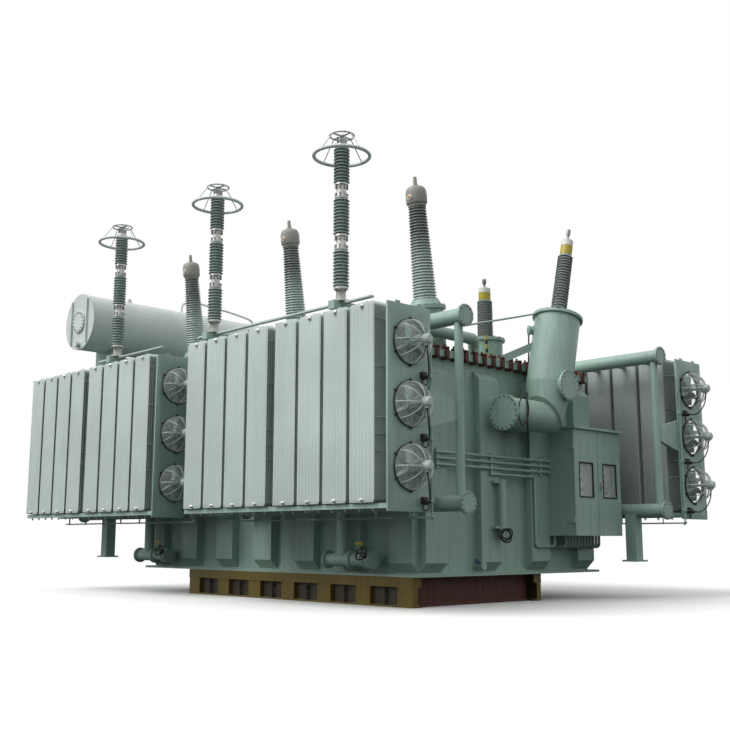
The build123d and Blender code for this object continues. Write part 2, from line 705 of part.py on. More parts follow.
# Surge arresters on cantilever beams over the front radiators
def make_arresters():
    beams, units, fittings = [], [], []
    half = ARRESTER_BEAM / 2
    for x in PHASE_X:
        inner = TANK_FRONT + ARRESTER_POST_INSET
        beam = block(x - half, x + half, ARRESTER_Y - ARRESTER_BEAM_TAIL, inner + ARRESTER_BEAM,
                     ARRESTER_BASE_Z - ARRESTER_BEAM, ARRESTER_BASE_Z)
        beam += block(x - half, x + half, inner, inner + ARRESTER_BEAM, COVER_TOP, ARRESTER_BASE_Z - half)
        beams.append(beam)
        y, z = ARRESTER_Y, ARRESTER_BASE_Z
        fittings.append(rod((x, y, z), (x, y, z + ARRESTER_FOOT), ARRESTER_FOOT_RADIUS))
        z += ARRESTER_FOOT
        for level in range(ARRESTER_UNITS):
            units.append(rod((x, y, z), (x, y, z + ARRESTER_UNIT), ARRESTER_RADIUS))
            z += ARRESTER_UNIT
            if level < ARRESTER_UNITS - 1:
                fittings.append(rod((x, y, z), (x, y, z + ARRESTER_JOINT), ARRESTER_JOINT_RADIUS))
                z += ARRESTER_JOINT
        cap = rod((x, y, z), (x, y, z + ARRESTER_CAP), ARRESTER_JOINT_RADIUS)
        cap += rod((x, y, z + ARRESTER_CAP), (x, y, z + ARRESTER_TERMINAL), ARRESTER_TERMINAL_RADIUS)
        ring_z = z - ARRESTER_JOINT / 2
        out, rise = ARRESTER_STRUT_START
        for i in range(ARRESTER_STRUTS):
            angle = math.radians(360 / ARRESTER_STRUTS * (i + 0.5))
            c, s = math.cos(angle), math.sin(angle)
            near = (x + out * c, y + out * s, z + rise)
            far = (x + ARRESTER_RING_RADIUS * c, y + ARRESTER_RING_RADIUS * s, ring_z)
            cap += rod(near, far, ARRESTER_STRUT_RADIUS)
        cap += Pos(x, y, ring_z) * Torus(ARRESTER_RING_RADIUS, ARRESTER_RING_TUBE)
        fittings.append(cap)
    save("arrester_beams", *beams)
    save("arrester_units", *units)
    save("arrester_fittings", *fittings)


# Low-voltage bushings
def lv_bushing(base, axis, length):
    """Porcelain and metal cap of one low-voltage bushing."""
    top = along(base, axis, length)
    cap_top = along(top, axis, LV_CAP_SHARE * length)
    porcelain = rod(base, top, LV_PORCELAIN_RADIUS, LV_PORCELAIN_RADIUS - LV_TAPER)
    cap = rod(top, cap_top, LV_PORCELAIN_RADIUS - LV_CAP_STEP)
    cap += rod(cap_top, along(top, axis, LV_PIN_SHARE * length), LV_PIN_RADIUS)
    return porcelain, cap


def elbow_brace():
    """Flat bar from the elbow turret down to a foot on the tank cover."""
    start, end = Vector(*BRACE_FOOT), Vector(*BRACE_TOP)
    run = end - start
    across = Vector(-run.Y, run.X, 0).normalized()
    flat = Plane(origin=(start + end) / 2, x_dir=run.normalized(), z_dir=across)
    bar = flat * Box(run.length, BRACE_WIDTH, BRACE_THICKNESS)
    half = BRACE_WIDTH / 2
    x, y, z = BRACE_FOOT
    bar -= block(x - 4 * half, x + 4 * half, y - 4 * half, y + 4 * half, COVER_TOP - 4 * half, COVER_TOP)
    return bar + block(x - half / 2, x + half / 2, y - half, y + half, COVER_TOP, COVER_TOP + BRACE_THICKNESS)


def make_lv_side():
    axis = lean(ELBOW_LEAN)
    turn = (ELBOW_X, ELBOW_TURN, ELBOW_Z)
    top = along(turn, axis, (ELBOW_TOP_Z - ELBOW_Z) / axis[2])
    mitre = (90 + ELBOW_LEAN) / 2
    reach = 2 * ELBOW_TOP_Z
    above = Pos(*turn) * Rot(-mitre, 0, 0) * Pos(0, 0, reach / 2) * Box(reach, reach, reach)
    taper_end = along(turn, axis, TAPER_RISE)
    tube = rod(taper_end, top, TUBE_RADIUS)
    tube += rod(along(turn, axis, -DRUM_RADIUS), taper_end, TAPER_RADIUS, TUBE_RADIUS)
    tube = tube & above
    drum = rod((ELBOW_X, ELBOW_FRONT, ELBOW_Z), (ELBOW_X, ELBOW_TURN + 2 * DRUM_RADIUS, ELBOW_Z), DRUM_RADIUS)
    turret = tube + (drum - above)
    front = ELBOW_FRONT - RIM_THICKNESS
    turret += rod((ELBOW_X, front, ELBOW_Z), (ELBOW_X, ELBOW_FRONT, ELBOW_Z), DRUM_RADIUS + DRUM_LIP)
    turret += rod(along(top, axis, -RIM_THICKNESS), top, TUBE_RADIUS + RIM_LIP)
    turret += rod((TANK_RIGHT, NECK_Y, ELBOW_Z), (ELBOW_X, NECK_Y, ELBOW_Z), NECK_RADIUS)
    hatch_y = ELBOW_TURN + (HATCH_Z - ELBOW_Z) * math.tan(math.radians(ELBOW_LEAN))
    hatch_end = ELBOW_X + HATCH_REACH
    turret += rod((ELBOW_X, hatch_y, HATCH_Z), (hatch_end, hatch_y, HATCH_Z), HATCH_RADIUS)
    turret += rod((hatch_end - HATCH_COVER, hatch_y, HATCH_Z), (hatch_end, hatch_y, HATCH_Z),
                  HATCH_RADIUS + HATCH_LIP)
    turret += elbow_brace()
    save("lv_elbow_turret", turret)
    x, y = COVER_TURRET
    cover_turret = rod((x, y, COVER_TOP), (x, y, COVER_TURRET_TOP), COVER_TURRET_RADIUS)
    cover_turret += rod((x, y, COVER_TURRET_TOP - RIM_THICKNESS), (x, y, COVER_TURRET_TOP),
                        COVER_TURRET_RADIUS + RIM_LIP)
    save("lv_cover_turret", cover_turret)
    first = lv_bushing(top, axis, ELBOW_PORCELAIN)
    second = lv_bushing((x, y, COVER_TURRET_TOP), (0, 0, 1), COVER_PORCELAIN)
    save("lv_porcelains", first[0], second[0])
    save("lv_caps", first[1], second[1])


# Conservator
def make_conservator():
    y0, y1 = MIDDLE_Y - CONS_HALF, MIDDLE_Y + CONS_HALF
    barrel = rod((CONS_X, y0, CONS_Z), (CONS_X, y1, CONS_Z), CONS_RADIUS)
    shell = barrel - rod((CONS_X, y0, CONS_Z), (CONS_X, y1, CONS_Z), CONS_RADIUS - CONS_WALL)
    save("conservator_shell", shell)
    ends = []
    for y, out in ((y0, -1), (y1, 1)):
        face = y + out * CONS_END
        end = rod((CONS_X, y, CONS_Z), (CONS_X, face, CONS_Z), CONS_RADIUS + CONS_END_LIP)
        end += rod((CONS_X, face, CONS_Z), (CONS_X, face + out * CONS_MANHOLE_DEPTH, CONS_Z), CONS_MANHOLE)
        r0, r1 = span(face, face + out * CONS_RIB)
        tall = math.sqrt(CONS_RADIUS ** 2 - (CONS_RIB_OUT + CONS_RIB) ** 2)
        for x in (CONS_X - CONS_RIB_OUT, CONS_X + CONS_RIB_OUT):
            end += block(x - CONS_RIB / 2, x + CONS_RIB / 2, r0, r1, CONS_Z - tall, CONS_Z + tall)
        ends.append(end)
    save("conservator_ends", *ends)
    beams = []
    half = CONS_BEAM / 2
    inset, low = CONS_CRADLE_INSET, CONS_CRADLE_TOP - CONS_BEAM
    cross = block(CONS_X - half, CONS_X + half, y0 + inset, y1 - inset, low, CONS_CRADLE_TOP)
    for side in (-1, 1):
        y = outward(side, CONS_SADDLE_OUT)
        saddle = block(CONS_X - CONS_SADDLE_HALF, CONS_X + CONS_SADDLE_HALF, y - half, y + half,
                       CONS_CRADLE_TOP, CONS_Z - CONS_SADDLE_SHARE * CONS_RADIUS)
        cross += saddle - barrel
        y = outward(side, CONS_BEAM_OUT)
        beam = block(CONS_X - CONS_BEAM_TAIL, TANK_LEFT + CONS_BEAM_LAP, y - half, y + half,
                     COVER_TOP, COVER_TOP + CONS_BEAM)
        beam += block(CONS_X - half, CONS_X + half, y - half, y + half, COVER_TOP, low)
        beams.append(beam)
    save("conservator_cradle", cross)
    save("conservator_beams", *beams)


# Control cabinet
def hinge_lug(y, side, z):
    """Lug on the cabinet's side wall with an upright pin, where one door hinge turns."""
    y0, y1 = span(y, y - side * HINGE_LUG)
    back = CAB_FRONT - HINGE_LUG_LENGTH
    lug = block(back, CAB_FRONT - DOOR_THICKNESS - DOOR_GAP, y0, y1, z, z + HINGE_LUG)
    near, far = span(y - side * (HINGE_OUT - HINGE_PIN), y - side * HINGE_LUG)
    lug += block(back, HINGE_X + HINGE_PIN, near, far, z, z + HINGE_LUG)
    pin_y = y - side * HINGE_OUT
    return lug + rod((HINGE_X, pin_y, z), (HINGE_X, pin_y, z + HINGE_LUG + HINGE_LENGTH), HINGE_PIN)


def hinge_knuckle(y, side, z):
    """Knuckle on a door's edge, bored for the pin of its lug."""
    low, high = z + HINGE_LUG + HINGE_PLAY, z + HINGE_LUG + HINGE_LENGTH - HINGE_PLAY
    pin_y = y - side * HINGE_OUT
    y0, y1 = span(pin_y, y)
    knuckle = rod((HINGE_X, pin_y, low), (HINGE_X, pin_y, high), HINGE_RADIUS)
    knuckle += block(HINGE_X - HINGE_LEAF / 2, HINGE_X + HINGE_LEAF / 2, y0, y1, low, high)
    return knuckle - rod((HINGE_X, pin_y, low - 1), (HINGE_X, pin_y, high + 1), HINGE_PIN + SHAFT_FIT)


def make_cabinet():
    shell_front = CAB_FRONT - DOOR_THICKNESS - DOOR_GAP
    shell = block(CAB_BACK, shell_front, CAB_LEFT, CAB_RIGHT, CAB_BOTTOM, CAB_TOP)
    shell -= block(CAB_BACK + CAB_WALL, shell_front + CAB_WALL, CAB_LEFT + CAB_WALL, CAB_RIGHT - CAB_WALL,
                   CAB_BOTTOM + CAB_WALL, CAB_TOP - CAB_WALL)
    shell += block(CAB_BACK, CAB_FRONT + ROOF_OVERHANG, CAB_LEFT - ROOF_SIDE, CAB_RIGHT + ROOF_SIDE,
                   CAB_TOP, CAB_TOP + ROOF_THICKNESS)
    shell += block(TANK_RIGHT, CAB_BACK, CAB_LEFT, CAB_LEFT + CAB_WALL, CAB_BOTTOM, CAB_TOP)
    for y, side in ((CAB_LEFT, 1), (CAB_RIGHT, -1)):
        for z in HINGE_LEVELS:
            shell += hinge_lug(y, side, z)
    save("cabinet_shell", shell)
    middle = (CAB_LEFT + CAB_RIGHT) / 2
    back = CAB_FRONT - DOOR_THICKNESS
    for name, y0, y1, free in (("left", CAB_LEFT, middle - DOOR_GAP, 1),
                               ("right", middle + DOOR_GAP, CAB_RIGHT, -1)):
        door = block(back, CAB_FRONT, y0, y1, CAB_BOTTOM, CAB_TOP - DOOR_GAP)
        edge = y1 - WINDOW_EDGE if free > 0 else y0 + WINDOW_EDGE
        w0, w1 = span(edge, edge - free * WINDOW_WIDTH)
        door -= block(back - DOOR_GAP, CAB_FRONT + DOOR_GAP, w0, w1, WINDOW_BOTTOM, WINDOW_TOP)
        for z in HINGE_LEVELS:
            door += hinge_knuckle(y0 if free > 0 else y1, free, z)
        save(f"cabinet_{name}_door", door)
        glass = back + GLASS_INSET
        save(f"cabinet_{name}_window",
             block(glass, glass + GLASS_THICKNESS, w0, w1, WINDOW_BOTTOM, WINDOW_TOP))
    panel = block(CAB_BACK + CAB_WALL, PANEL_FACE, CAB_LEFT + PANEL_SIDE, CAB_RIGHT - PANEL_SIDE,
                  CAB_BOTTOM + PANEL_FOOT, CAB_TOP - PANEL_HEADROOM)
    save("cabinet_panel", panel)


# Conduits and breather on the right end wall
def bent_conduit(*points):
    """Round conduit along straight runs with bends."""
    start, second = Vector(*points[0]), Vector(*points[1])
    path = FilletPolyline(*points, radius=CONDUIT_BEND)
    return sweep(Plane(origin=start, z_dir=(second - start).normalized()) * Circle(CONDUIT_RADIUS), path=path)


def make_conduits():
    face = TANK_RIGHT + STIFFENER_DEPTH
    x = CONDUIT_X
    bundle = rod((x, CONDUIT_START, CONDUIT_LEVELS[0]), (x, CAB_LEFT, CONDUIT_LEVELS[0]), CONDUIT_RADIUS)
    for z in CONDUIT_LEVELS[1:]:
        bundle += rod((x, CONDUIT_START, z), (x, CAB_LEFT, z), CONDUIT_RADIUS)
    for y in CLIP_YS:
        bundle += block(face, x, y - CLIP_WIDTH / 2, y + CLIP_WIDTH / 2,
                        CONDUIT_LEVELS[-1] - CLIP_LIP, CONDUIT_LEVELS[0] + CLIP_LIP)
    y0, y1 = DOWN_CONDUIT_Y
    down = bent_conduit((x, y0, DOWN_CONDUIT_Z), (x, y1, DOWN_CONDUIT_Z), (x, y1, DOWN_CONDUIT_FOOT),
                        (x, CAB_LEFT + DOWN_CONDUIT_ENTRY, DOWN_CONDUIT_FOOT),
                        (x, CAB_LEFT + DOWN_CONDUIT_ENTRY, CAB_BOTTOM))
    for y in (y0 + CLIP_WIDTH, y1 - CLIP_WIDTH):
        down += block(face, x, y - CLIP_WIDTH / 2, y + CLIP_WIDTH / 2,
                      DOWN_CONDUIT_Z - SMALL_CLIP_LIP, DOWN_CONDUIT_Z + SMALL_CLIP_LIP)
    bx, by = BREATHER
    breather = rod((bx, by, BREATHER_Z[0]), (bx, by, BREATHER_Z[1]), BREATHER_RADIUS)
    left, right = BREATHER_BRACKET_Y
    half = BREATHER_BRACKET_HEIGHT / 2
    for z in BREATHER_BRACKETS:
        breather += block(face, bx, by + left, by + right, z - half, z + half)
    save("wall_conduits", bundle, down, breather)
    run = []
    spread = (CAB_RIGHT - CAB_LEFT - 2 * CABINET_CONDUIT_EDGE) / (CABINET_CONDUITS - 1)
    for i in range(CABINET_CONDUITS):
        y = CAB_LEFT + CABINET_CONDUIT_EDGE + i * spread
        on_rib = any(low - CONDUIT_RADIUS < y < low + STIFFENER_WIDTH + CONDUIT_RADIUS
                     for low in stiffener_starts(TANK_FRONT, TANK_BACK))
        run.append(bent_conduit((CABINET_CONDUIT_X, y, CAB_BOTTOM), (CABINET_CONDUIT_X, y, CABINET_CONDUIT_Z),
                                (face if on_rib else TANK_RIGHT, y, CABINET_CONDUIT_Z)))
    save("cabinet_conduits", *run)


make_skid()
make_tank()
make_banks()
make_fans()
make_hv_bushings()
make_arresters()
make_lv_side()
make_conservator()
make_cabinet()
make_conduits()
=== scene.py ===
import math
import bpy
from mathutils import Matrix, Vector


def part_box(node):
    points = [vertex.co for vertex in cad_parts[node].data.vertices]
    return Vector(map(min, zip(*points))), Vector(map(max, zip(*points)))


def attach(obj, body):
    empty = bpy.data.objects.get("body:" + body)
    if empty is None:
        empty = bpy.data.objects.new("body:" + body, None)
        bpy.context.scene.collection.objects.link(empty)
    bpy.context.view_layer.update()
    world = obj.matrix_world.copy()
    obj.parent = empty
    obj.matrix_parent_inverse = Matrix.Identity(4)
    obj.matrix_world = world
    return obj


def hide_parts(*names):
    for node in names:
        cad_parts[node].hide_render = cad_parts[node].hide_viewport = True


bl_info = {
    "name": "Power transformer",
    "version": (1, 0, 0),
    "blender": (4, 5, 0),
    "location": "3D View > Sidebar > Transformer",
    "description": "Models the fine pieces of a power transformer over its shared frame",
    "category": "Object",
}

import bpy
from bpy.props import FloatProperty, FloatVectorProperty, IntProperty, PointerProperty
from mathutils import Vector

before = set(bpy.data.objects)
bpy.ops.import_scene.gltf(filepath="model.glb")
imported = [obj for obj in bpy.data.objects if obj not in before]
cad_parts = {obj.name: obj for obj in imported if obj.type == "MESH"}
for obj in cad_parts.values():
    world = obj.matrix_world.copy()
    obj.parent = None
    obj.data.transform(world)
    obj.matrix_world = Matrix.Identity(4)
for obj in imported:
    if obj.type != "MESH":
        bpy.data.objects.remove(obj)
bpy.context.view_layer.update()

# Bodies, banks and places of the object, in metres
ROOT = "transformer"
BANKS = ("front_right", "front_left", "back_right", "back_left")
LEVELS = ("low", "middle", "high")
PHASE_X = (-3.980, -0.690, 2.600)
HV_BASE = (-0.880, 4.900)
HV_LEAN = math.radians(-6.4)
HV_LENGTH = 1.570
ARRESTER_Y = -2.752
ARRESTER_Z = 4.560
ELBOW_TOP = (3.450, 1.603, 4.852)
ELBOW_LEAN = math.radians(14)
COVER_TURRET_TOP = (2.451, 0.826, 4.490)
CONSERVATOR = (-6.250, 5.671, 0.607)


def rgb(code):
    """Linear colour of an sRGB hex code."""
    parts = [int(code[i:i + 2], 16) / 255 for i in (1, 3, 5)]
    return tuple(c / 12.92 if c <= 0.04045 else ((c + 0.055) / 1.055) ** 2.4 for c in parts) + (1.0,)


def colour(label, text, code):
    return FloatVectorProperty(name=label, description=text, subtype="COLOR", size=4, min=0, max=1,
                               default=rgb(code))


def length(label, text, value):
    return FloatProperty(name=label, description=text, default=value, min=0.0001, unit="LENGTH")


class TransformerRadiators(bpy.types.PropertyGroup):
    fins: IntProperty(name="Fins", description="Pressed fins in one radiator", default=20, min=2)
    flutes: IntProperty(name="Flutes", description="Oil channels across one fin", default=7, min=2)
    flute_depth: length("Flute depth", "Half the thickness of a fin at a channel", 0.0100)
    seam_depth: length("Seam depth", "Half the thickness of a fin between channels", 0.0040)
    panel_width: length("Panel width", "Width of one radiator along the bank", 0.506)
    panel_pitch: length("Panel pitch", "Spacing of radiators in a group", 0.571)
    group_pitch: length("Group pitch", "Spacing of the two groups of a bank", 2.403)
    rise: length("Rise", "How far the fins stand above the collector blocks", 0.045)
    depth: length("Stack depth", "Depth of the stack of fins", 0.876)
    pipe: length("Collector radius", "Radius of the collector pipes through the fins", 0.042)


class TransformerFans(bpy.types.PropertyGroup):
    guard_rings: IntProperty(name="Guard rings", description="Wire rings on a guard", default=18, min=2)
    guard_spokes: IntProperty(name="Guard spokes", description="Round bars from rim to motor", default=8, min=4)
    wire: length("Wire radius", "Radius of a guard ring's wire", 0.0024)
    spoke: length("Spoke radius", "Radius of a guard spoke", 0.0085)
    bore: length("Opening radius", "Radius of the opening in the plate", 0.306)
    blades: IntProperty(name="Blades", description="Blades of a rotor", default=6, min=2)


class TransformerBushings(bpy.types.PropertyGroup):
    hv_sheds: IntProperty(name="High-voltage sheds", description="Sheds on a tall bushing", default=32, min=3)
    lv_sheds: IntProperty(name="Low-voltage sheds", description="Sheds on the longer low bushing", default=22, min=3)
    arrester_sheds: IntProperty(name="Arrester sheds", description="Sheds on an arrester unit", default=11, min=3)
    core_depth: length("Shed depth", "How far a shed stands out from its core", 0.042)


class TransformerColours(bpy.types.PropertyGroup):
    tank: colour("Tank paint", "Grey-green enamel of the tank", "#91AA9F")
    fins: colour("Radiator paint", "Paler enamel of the radiators", "#B4C0BC")
    # The back radiators have the same paint as the front ones; this darker copy is painted shade.
    back_fins: colour("Back radiator paint", "Greyer enamel of the back radiators", "#979F9D")
    conservator: colour("Conservator paint", "Pale enamel of the conservator", "#C6CECB")
    # Skid yellow is darkened beyond the paint's own tone as painted shade, for the shade on the skid's front.
    yellow: colour("Skid yellow", "Enamel of the skid's side beams", "#62520A")
    red: colour("Red oxide", "Primer on the skid's end beams and the cover clamps", "#451A0F")
    porcelain: colour("Porcelain", "Grey glaze of the insulators", "#74837F")
    metal: colour("Bare metal", "Cast aluminium of heads and fittings", "#B4B5B1")
    floor: colour("Floor", "Pale floor", "#F4F4F2")


class TransformerStage(bpy.types.PropertyGroup):
    sun: FloatProperty(name="Sun", description="Strength of the soft sun", default=2.55, min=0)
    sky: FloatProperty(name="Sky", description="Strength of the sky", default=0.95, min=0)
    lens: FloatProperty(name="Lens", description="Focal length in millimetres", default=50.5, min=10)


# Modelling
def clear_selection():
    """Leave edit mode and select nothing."""
    if bpy.context.object and bpy.context.object.mode != "OBJECT":
        bpy.ops.object.mode_set(mode="OBJECT")
    bpy.ops.object.select_all(action="DESELECT")


def choose(*pieces):
    """Select these pieces, the first one active."""
    clear_selection()
    for piece in pieces:
        piece.select_set(True)
    bpy.context.view_layer.objects.active = pieces[0]


def settle(name):
    """Name the active piece and put its place, turn and size into its mesh."""
    piece = bpy.context.object
    piece.name = piece.data.name = name
    bpy.ops.object.transform_apply(location=True, rotation=True, scale=True)
    return piece


def shade(piece, degrees=35):
    choose(piece)
    bpy.ops.object.shade_smooth_by_angle(angle=math.radians(degrees))
    return piece


def block(name, low, high, bevel=0.0):
    """A box between two corners, its edges eased."""
    low, high = Vector(low), Vector(high)
    clear_selection()
    bpy.ops.mesh.primitive_cube_add(size=1, location=(low + high) / 2, scale=high - low)
    piece = settle(name)
    if bevel:
        bpy.ops.object.mode_set(mode="EDIT")
        bpy.ops.mesh.select_all(action="SELECT")
        bpy.ops.mesh.bevel(offset=bevel, segments=2, affect="EDGES")
        bpy.ops.object.mode_set(mode="OBJECT")
    return piece


def bar(name, start, end, radius, sides=12):
    """A round bar between two points."""
    start, end = Vector(start), Vector(end)
    clear_selection()
    bpy.ops.mesh.primitive_cylinder_add(vertices=sides, radius=radius, depth=(end - start).length,
                                        location=(start + end) / 2,
                                        rotation=(end - start).to_track_quat("Z", "Y").to_euler())
    return settle(name)


def hoop(name, centre, direction, major, minor, segments=48, sides=8):
    """A round ring about a direction."""
    clear_selection()
    bpy.ops.mesh.primitive_torus_add(major_segments=segments, minor_segments=sides, major_radius=major,
                                     minor_radius=minor, location=centre,
                                     rotation=Vector(direction).to_track_quat("Z", "Y").to_euler())
    return settle(name)


def turned(name, stations, start=(0, 0, 0), direction=(0, 0, 1), sides=32):
    """A turned piece: the end face of a disc is drawn out and resized from station to station."""
    clear_selection()
    height, radius = stations[0]
    bpy.ops.mesh.primitive_circle_add(vertices=sides, radius=radius, fill_type="NGON", location=(0, 0, height))
    piece = settle(name)
    bpy.ops.object.mode_set(mode="EDIT")
    bpy.ops.mesh.select_all(action="SELECT")
    for z, wide in stations[1:]:
        bpy.ops.mesh.extrude_region_move(TRANSFORM_OT_translate={"value": (0, 0, z - height)})
        if wide != radius:
            bpy.ops.transform.resize(value=(wide / radius, wide / radius, 1), center_override=(0, 0, z))
        height, radius = z, wide
    bpy.ops.mesh.select_all(action="SELECT")
    bpy.ops.mesh.normals_make_consistent(inside=False)
    bpy.ops.object.mode_set(mode="OBJECT")
    piece.location = start
    piece.rotation_euler = Vector(direction).to_track_quat("Z", "Y").to_euler()
    bpy.ops.object.transform_apply(location=True, rotation=True, scale=True)
    return piece


def tube(name, points, radius, closed=False):
    """A lead on one smooth line: a NURBS curve with a round section, made a mesh."""
    line = bpy.data.curves.new(name, "CURVE")
    line.dimensions, line.bevel_depth, line.bevel_resolution, line.use_fill_caps = "3D", radius, 2, True
    spline = line.splines.new("NURBS")
    spline.points.add(len(points) - 1)
    for point, place in zip(spline.points, points):
        point.co = (*place, 1)
    spline.order_u, spline.use_endpoint_u, spline.use_cyclic_u = 3, not closed, closed
    spline.resolution_u = 8
    piece = bpy.data.objects.new(name, line)
    bpy.context.collection.objects.link(piece)
    choose(piece)
    bpy.ops.object.convert(target="MESH")
    return settle(name)


def oval(centre, across, up, turn=0.0):
    """Twelve points around an oval loop that lies on two given half axes."""
    angles = [turn + math.tau * i / 12 for i in range(12)]
    return [Vector(centre) + Vector(across) * math.cos(a) + Vector(up) * math.sin(a) for a in angles]


def copied(piece, name, shift):
    """A copy of a piece with its own mesh, moved."""
    choose(piece)
    bpy.ops.object.duplicate(linked=False)
    bpy.context.object.location = shift
    return settle(name)


def joined(name, pieces):
    """One mesh of several pieces."""
    choose(*pieces)
    if len(pieces) > 1:
        bpy.ops.object.join()
    return settle(name)


def repeated(piece, count, offset):
    """Repeat a piece in a row with an array modifier that is then applied."""
    choose(piece)
    row = piece.modifiers.new("Row", "ARRAY")
    row.count = count
    row.use_relative_offset = False
    row.use_constant_offset = True
    row.constant_offset_displace = offset
    bpy.ops.object.modifier_apply(modifier=row.name)
    return piece


def around(piece, count, centre, axis):
    """Repeat a piece around an axis."""
    choose(piece)
    bpy.ops.object.mode_set(mode="EDIT")
    bpy.ops.mesh.select_all(action="SELECT")
    bpy.ops.mesh.spin(steps=count - 1, dupli=True, angle=math.tau * (count - 1) / count, center=centre, axis=axis)
    bpy.ops.object.mode_set(mode="OBJECT")
    return piece


def finish(piece, body, material, replaces=(), degrees=35):
    """Shade a piece, give it its material and seat it on a body of the frame."""
    shade(piece, degrees)
    piece.data.materials.clear()
    piece.data.materials.append(material)
    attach(piece, body)
    if replaces:
        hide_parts(*replaces)
    return piece


def bolt_circle(name, centre, direction, radius, count, size=0.022, height=0.016):
    """Hexagon bolt heads around a flange."""
    direction = Vector(direction).normalized()
    side = direction.orthogonal().normalized()
    place = Vector(centre) + side * radius
    head = bar(name, place - direction * 0.002, place + direction * height, size, sides=6)
    return around(head, count, centre, direction)


# Materials
def add(tree, kind, inputs=None, **settings):
    """Add a node, make its settings, and set or link its inputs."""
    item = tree.nodes.new(kind)
    for key, value in settings.items():
        setattr(item, key, value)
    for key, value in (inputs or {}).items():
        if isinstance(value, bpy.types.NodeSocket):
            tree.links.new(value, item.inputs[key])
        else:
            item.inputs[key].default_value = value
    return item


def start_material(name):
    """An empty node material, its principled shader and its Object coordinates."""
    made = bpy.data.materials.new(name)
    made.use_nodes = True
    tree = made.node_tree
    tree.nodes.clear()
    place = add(tree, "ShaderNodeTexCoord").outputs["Object"]
    shader = add(tree, "ShaderNodeBsdfPrincipled")
    add(tree, "ShaderNodeOutputMaterial", {"Surface": shader.outputs["BSDF"]})
    return made, tree, place, shader


def blend(tree, factor, a, b):
    """Mix two colours by a factor."""
    return add(tree, "ShaderNodeMix", {0: factor, 6: a, 7: b}, data_type="RGBA").outputs[2]


def band(tree, value, low, high, to_low=0.0, to_high=1.0):
    """Map a value from one range to another, held at its ends."""
    return add(tree, "ShaderNodeMapRange", {"Value": value, "From Min": low, "From Max": high,
                                            "To Min": to_low, "To Max": to_high}).outputs["Result"]


def seen_straight(tree, mirrored):
    """1 for what is seen straight or through glass, and in reflections if mirrored, 0 for light on things."""
    path = add(tree, "ShaderNodeLightPath").outputs
    seen = add(tree, "ShaderNodeMath", {0: path["Is Camera Ray"], 1: path["Is Transmission Ray"]},
               operation="MAXIMUM")
    if mirrored:
        seen = add(tree, "ShaderNodeMath", {0: seen.outputs["Value"], 1: path["Is Glossy Ray"]},
                   operation="MAXIMUM")
    return seen.outputs["Value"]


def shift_tone(base, gain):
    return tuple(min(1, c * gain) for c in base[:3]) + (1.0,)


def enamel(name, base, dirt, roughness=0.42, wear=0.35, upper=None, change=0.0, recess=0.0):
    """Sprayed enamel: an even satin film whose tone drifts a little, with rain streaks below edges,
    dust on what faces up and a fine orange peel in its highlights. A second colour may start at a height,
    and painted shade, near black, may darken faces set back from a given distance along Y, as in a recess."""
    made, tree, place, shader = start_material(name)
    drift = add(tree, "ShaderNodeTexNoise", {"Vector": place, "Scale": 0.9, "Detail": 5.0}).outputs["Fac"]
    tone = blend(tree, band(tree, drift, 0.3, 0.7), shift_tone(base, 0.90), shift_tone(base, 1.08))
    if upper:
        height = add(tree, "ShaderNodeSeparateXYZ", {"Vector": place}).outputs["Z"]
        tone = blend(tree, band(tree, height, change - 0.002, change + 0.002), tone, upper)
    tall = add(tree, "ShaderNodeMapping", {"Vector": place, "Scale": (9.0, 9.0, 0.35)}).outputs["Vector"]
    runs = add(tree, "ShaderNodeTexNoise", {"Vector": tall, "Scale": 1.6, "Detail": 6.0}).outputs["Fac"]
    tone = blend(tree, band(tree, runs, 0.50, 0.80, 0.0, wear), tone, dirt)
    facing = add(tree, "ShaderNodeSeparateXYZ", {"Vector": add(tree, "ShaderNodeNewGeometry").outputs["Normal"]})
    up = facing.outputs["Z"]
    # Painted shade: faces that face along Y and sit back from the front are darkened to near black.
    if recess:
        across = add(tree, "ShaderNodeSeparateXYZ", {"Vector": place}).outputs["Y"]
        away = add(tree, "ShaderNodeMath", {0: across}, operation="ABSOLUTE").outputs["Value"]
        side = add(tree, "ShaderNodeMath", {0: facing.outputs["Y"]}, operation="ABSOLUTE").outputs["Value"]
        painted_recess_shade = add(tree, "ShaderNodeMath", {0: band(tree, away, recess - 0.04, recess - 0.015, 0.85, 0.0),
                                            1: band(tree, side, 0.4, 0.6)}, operation="MULTIPLY").outputs["Value"]
        tone = blend(tree, painted_recess_shade, tone, rgb("#0E0C07"))
    tone = blend(tree, band(tree, up, 0.6, 1.0, 0.0, 0.25), tone, rgb("#B7B5A6"))
    grain = add(tree, "ShaderNodeTexNoise", {"Vector": place, "Scale": 55.0, "Detail": 4.0}).outputs["Fac"]
    peel = add(tree, "ShaderNodeBump", {"Strength": 0.05, "Distance": 0.004, "Height": grain})
    tree.links.new(tone, shader.inputs["Base Color"])
    tree.links.new(band(tree, runs, 0.3, 0.8, roughness - 0.05, roughness + 0.16), shader.inputs["Roughness"])
    tree.links.new(peel.outputs["Normal"], shader.inputs["Normal"])
    shader.inputs["IOR"].default_value = 1.5
    return made


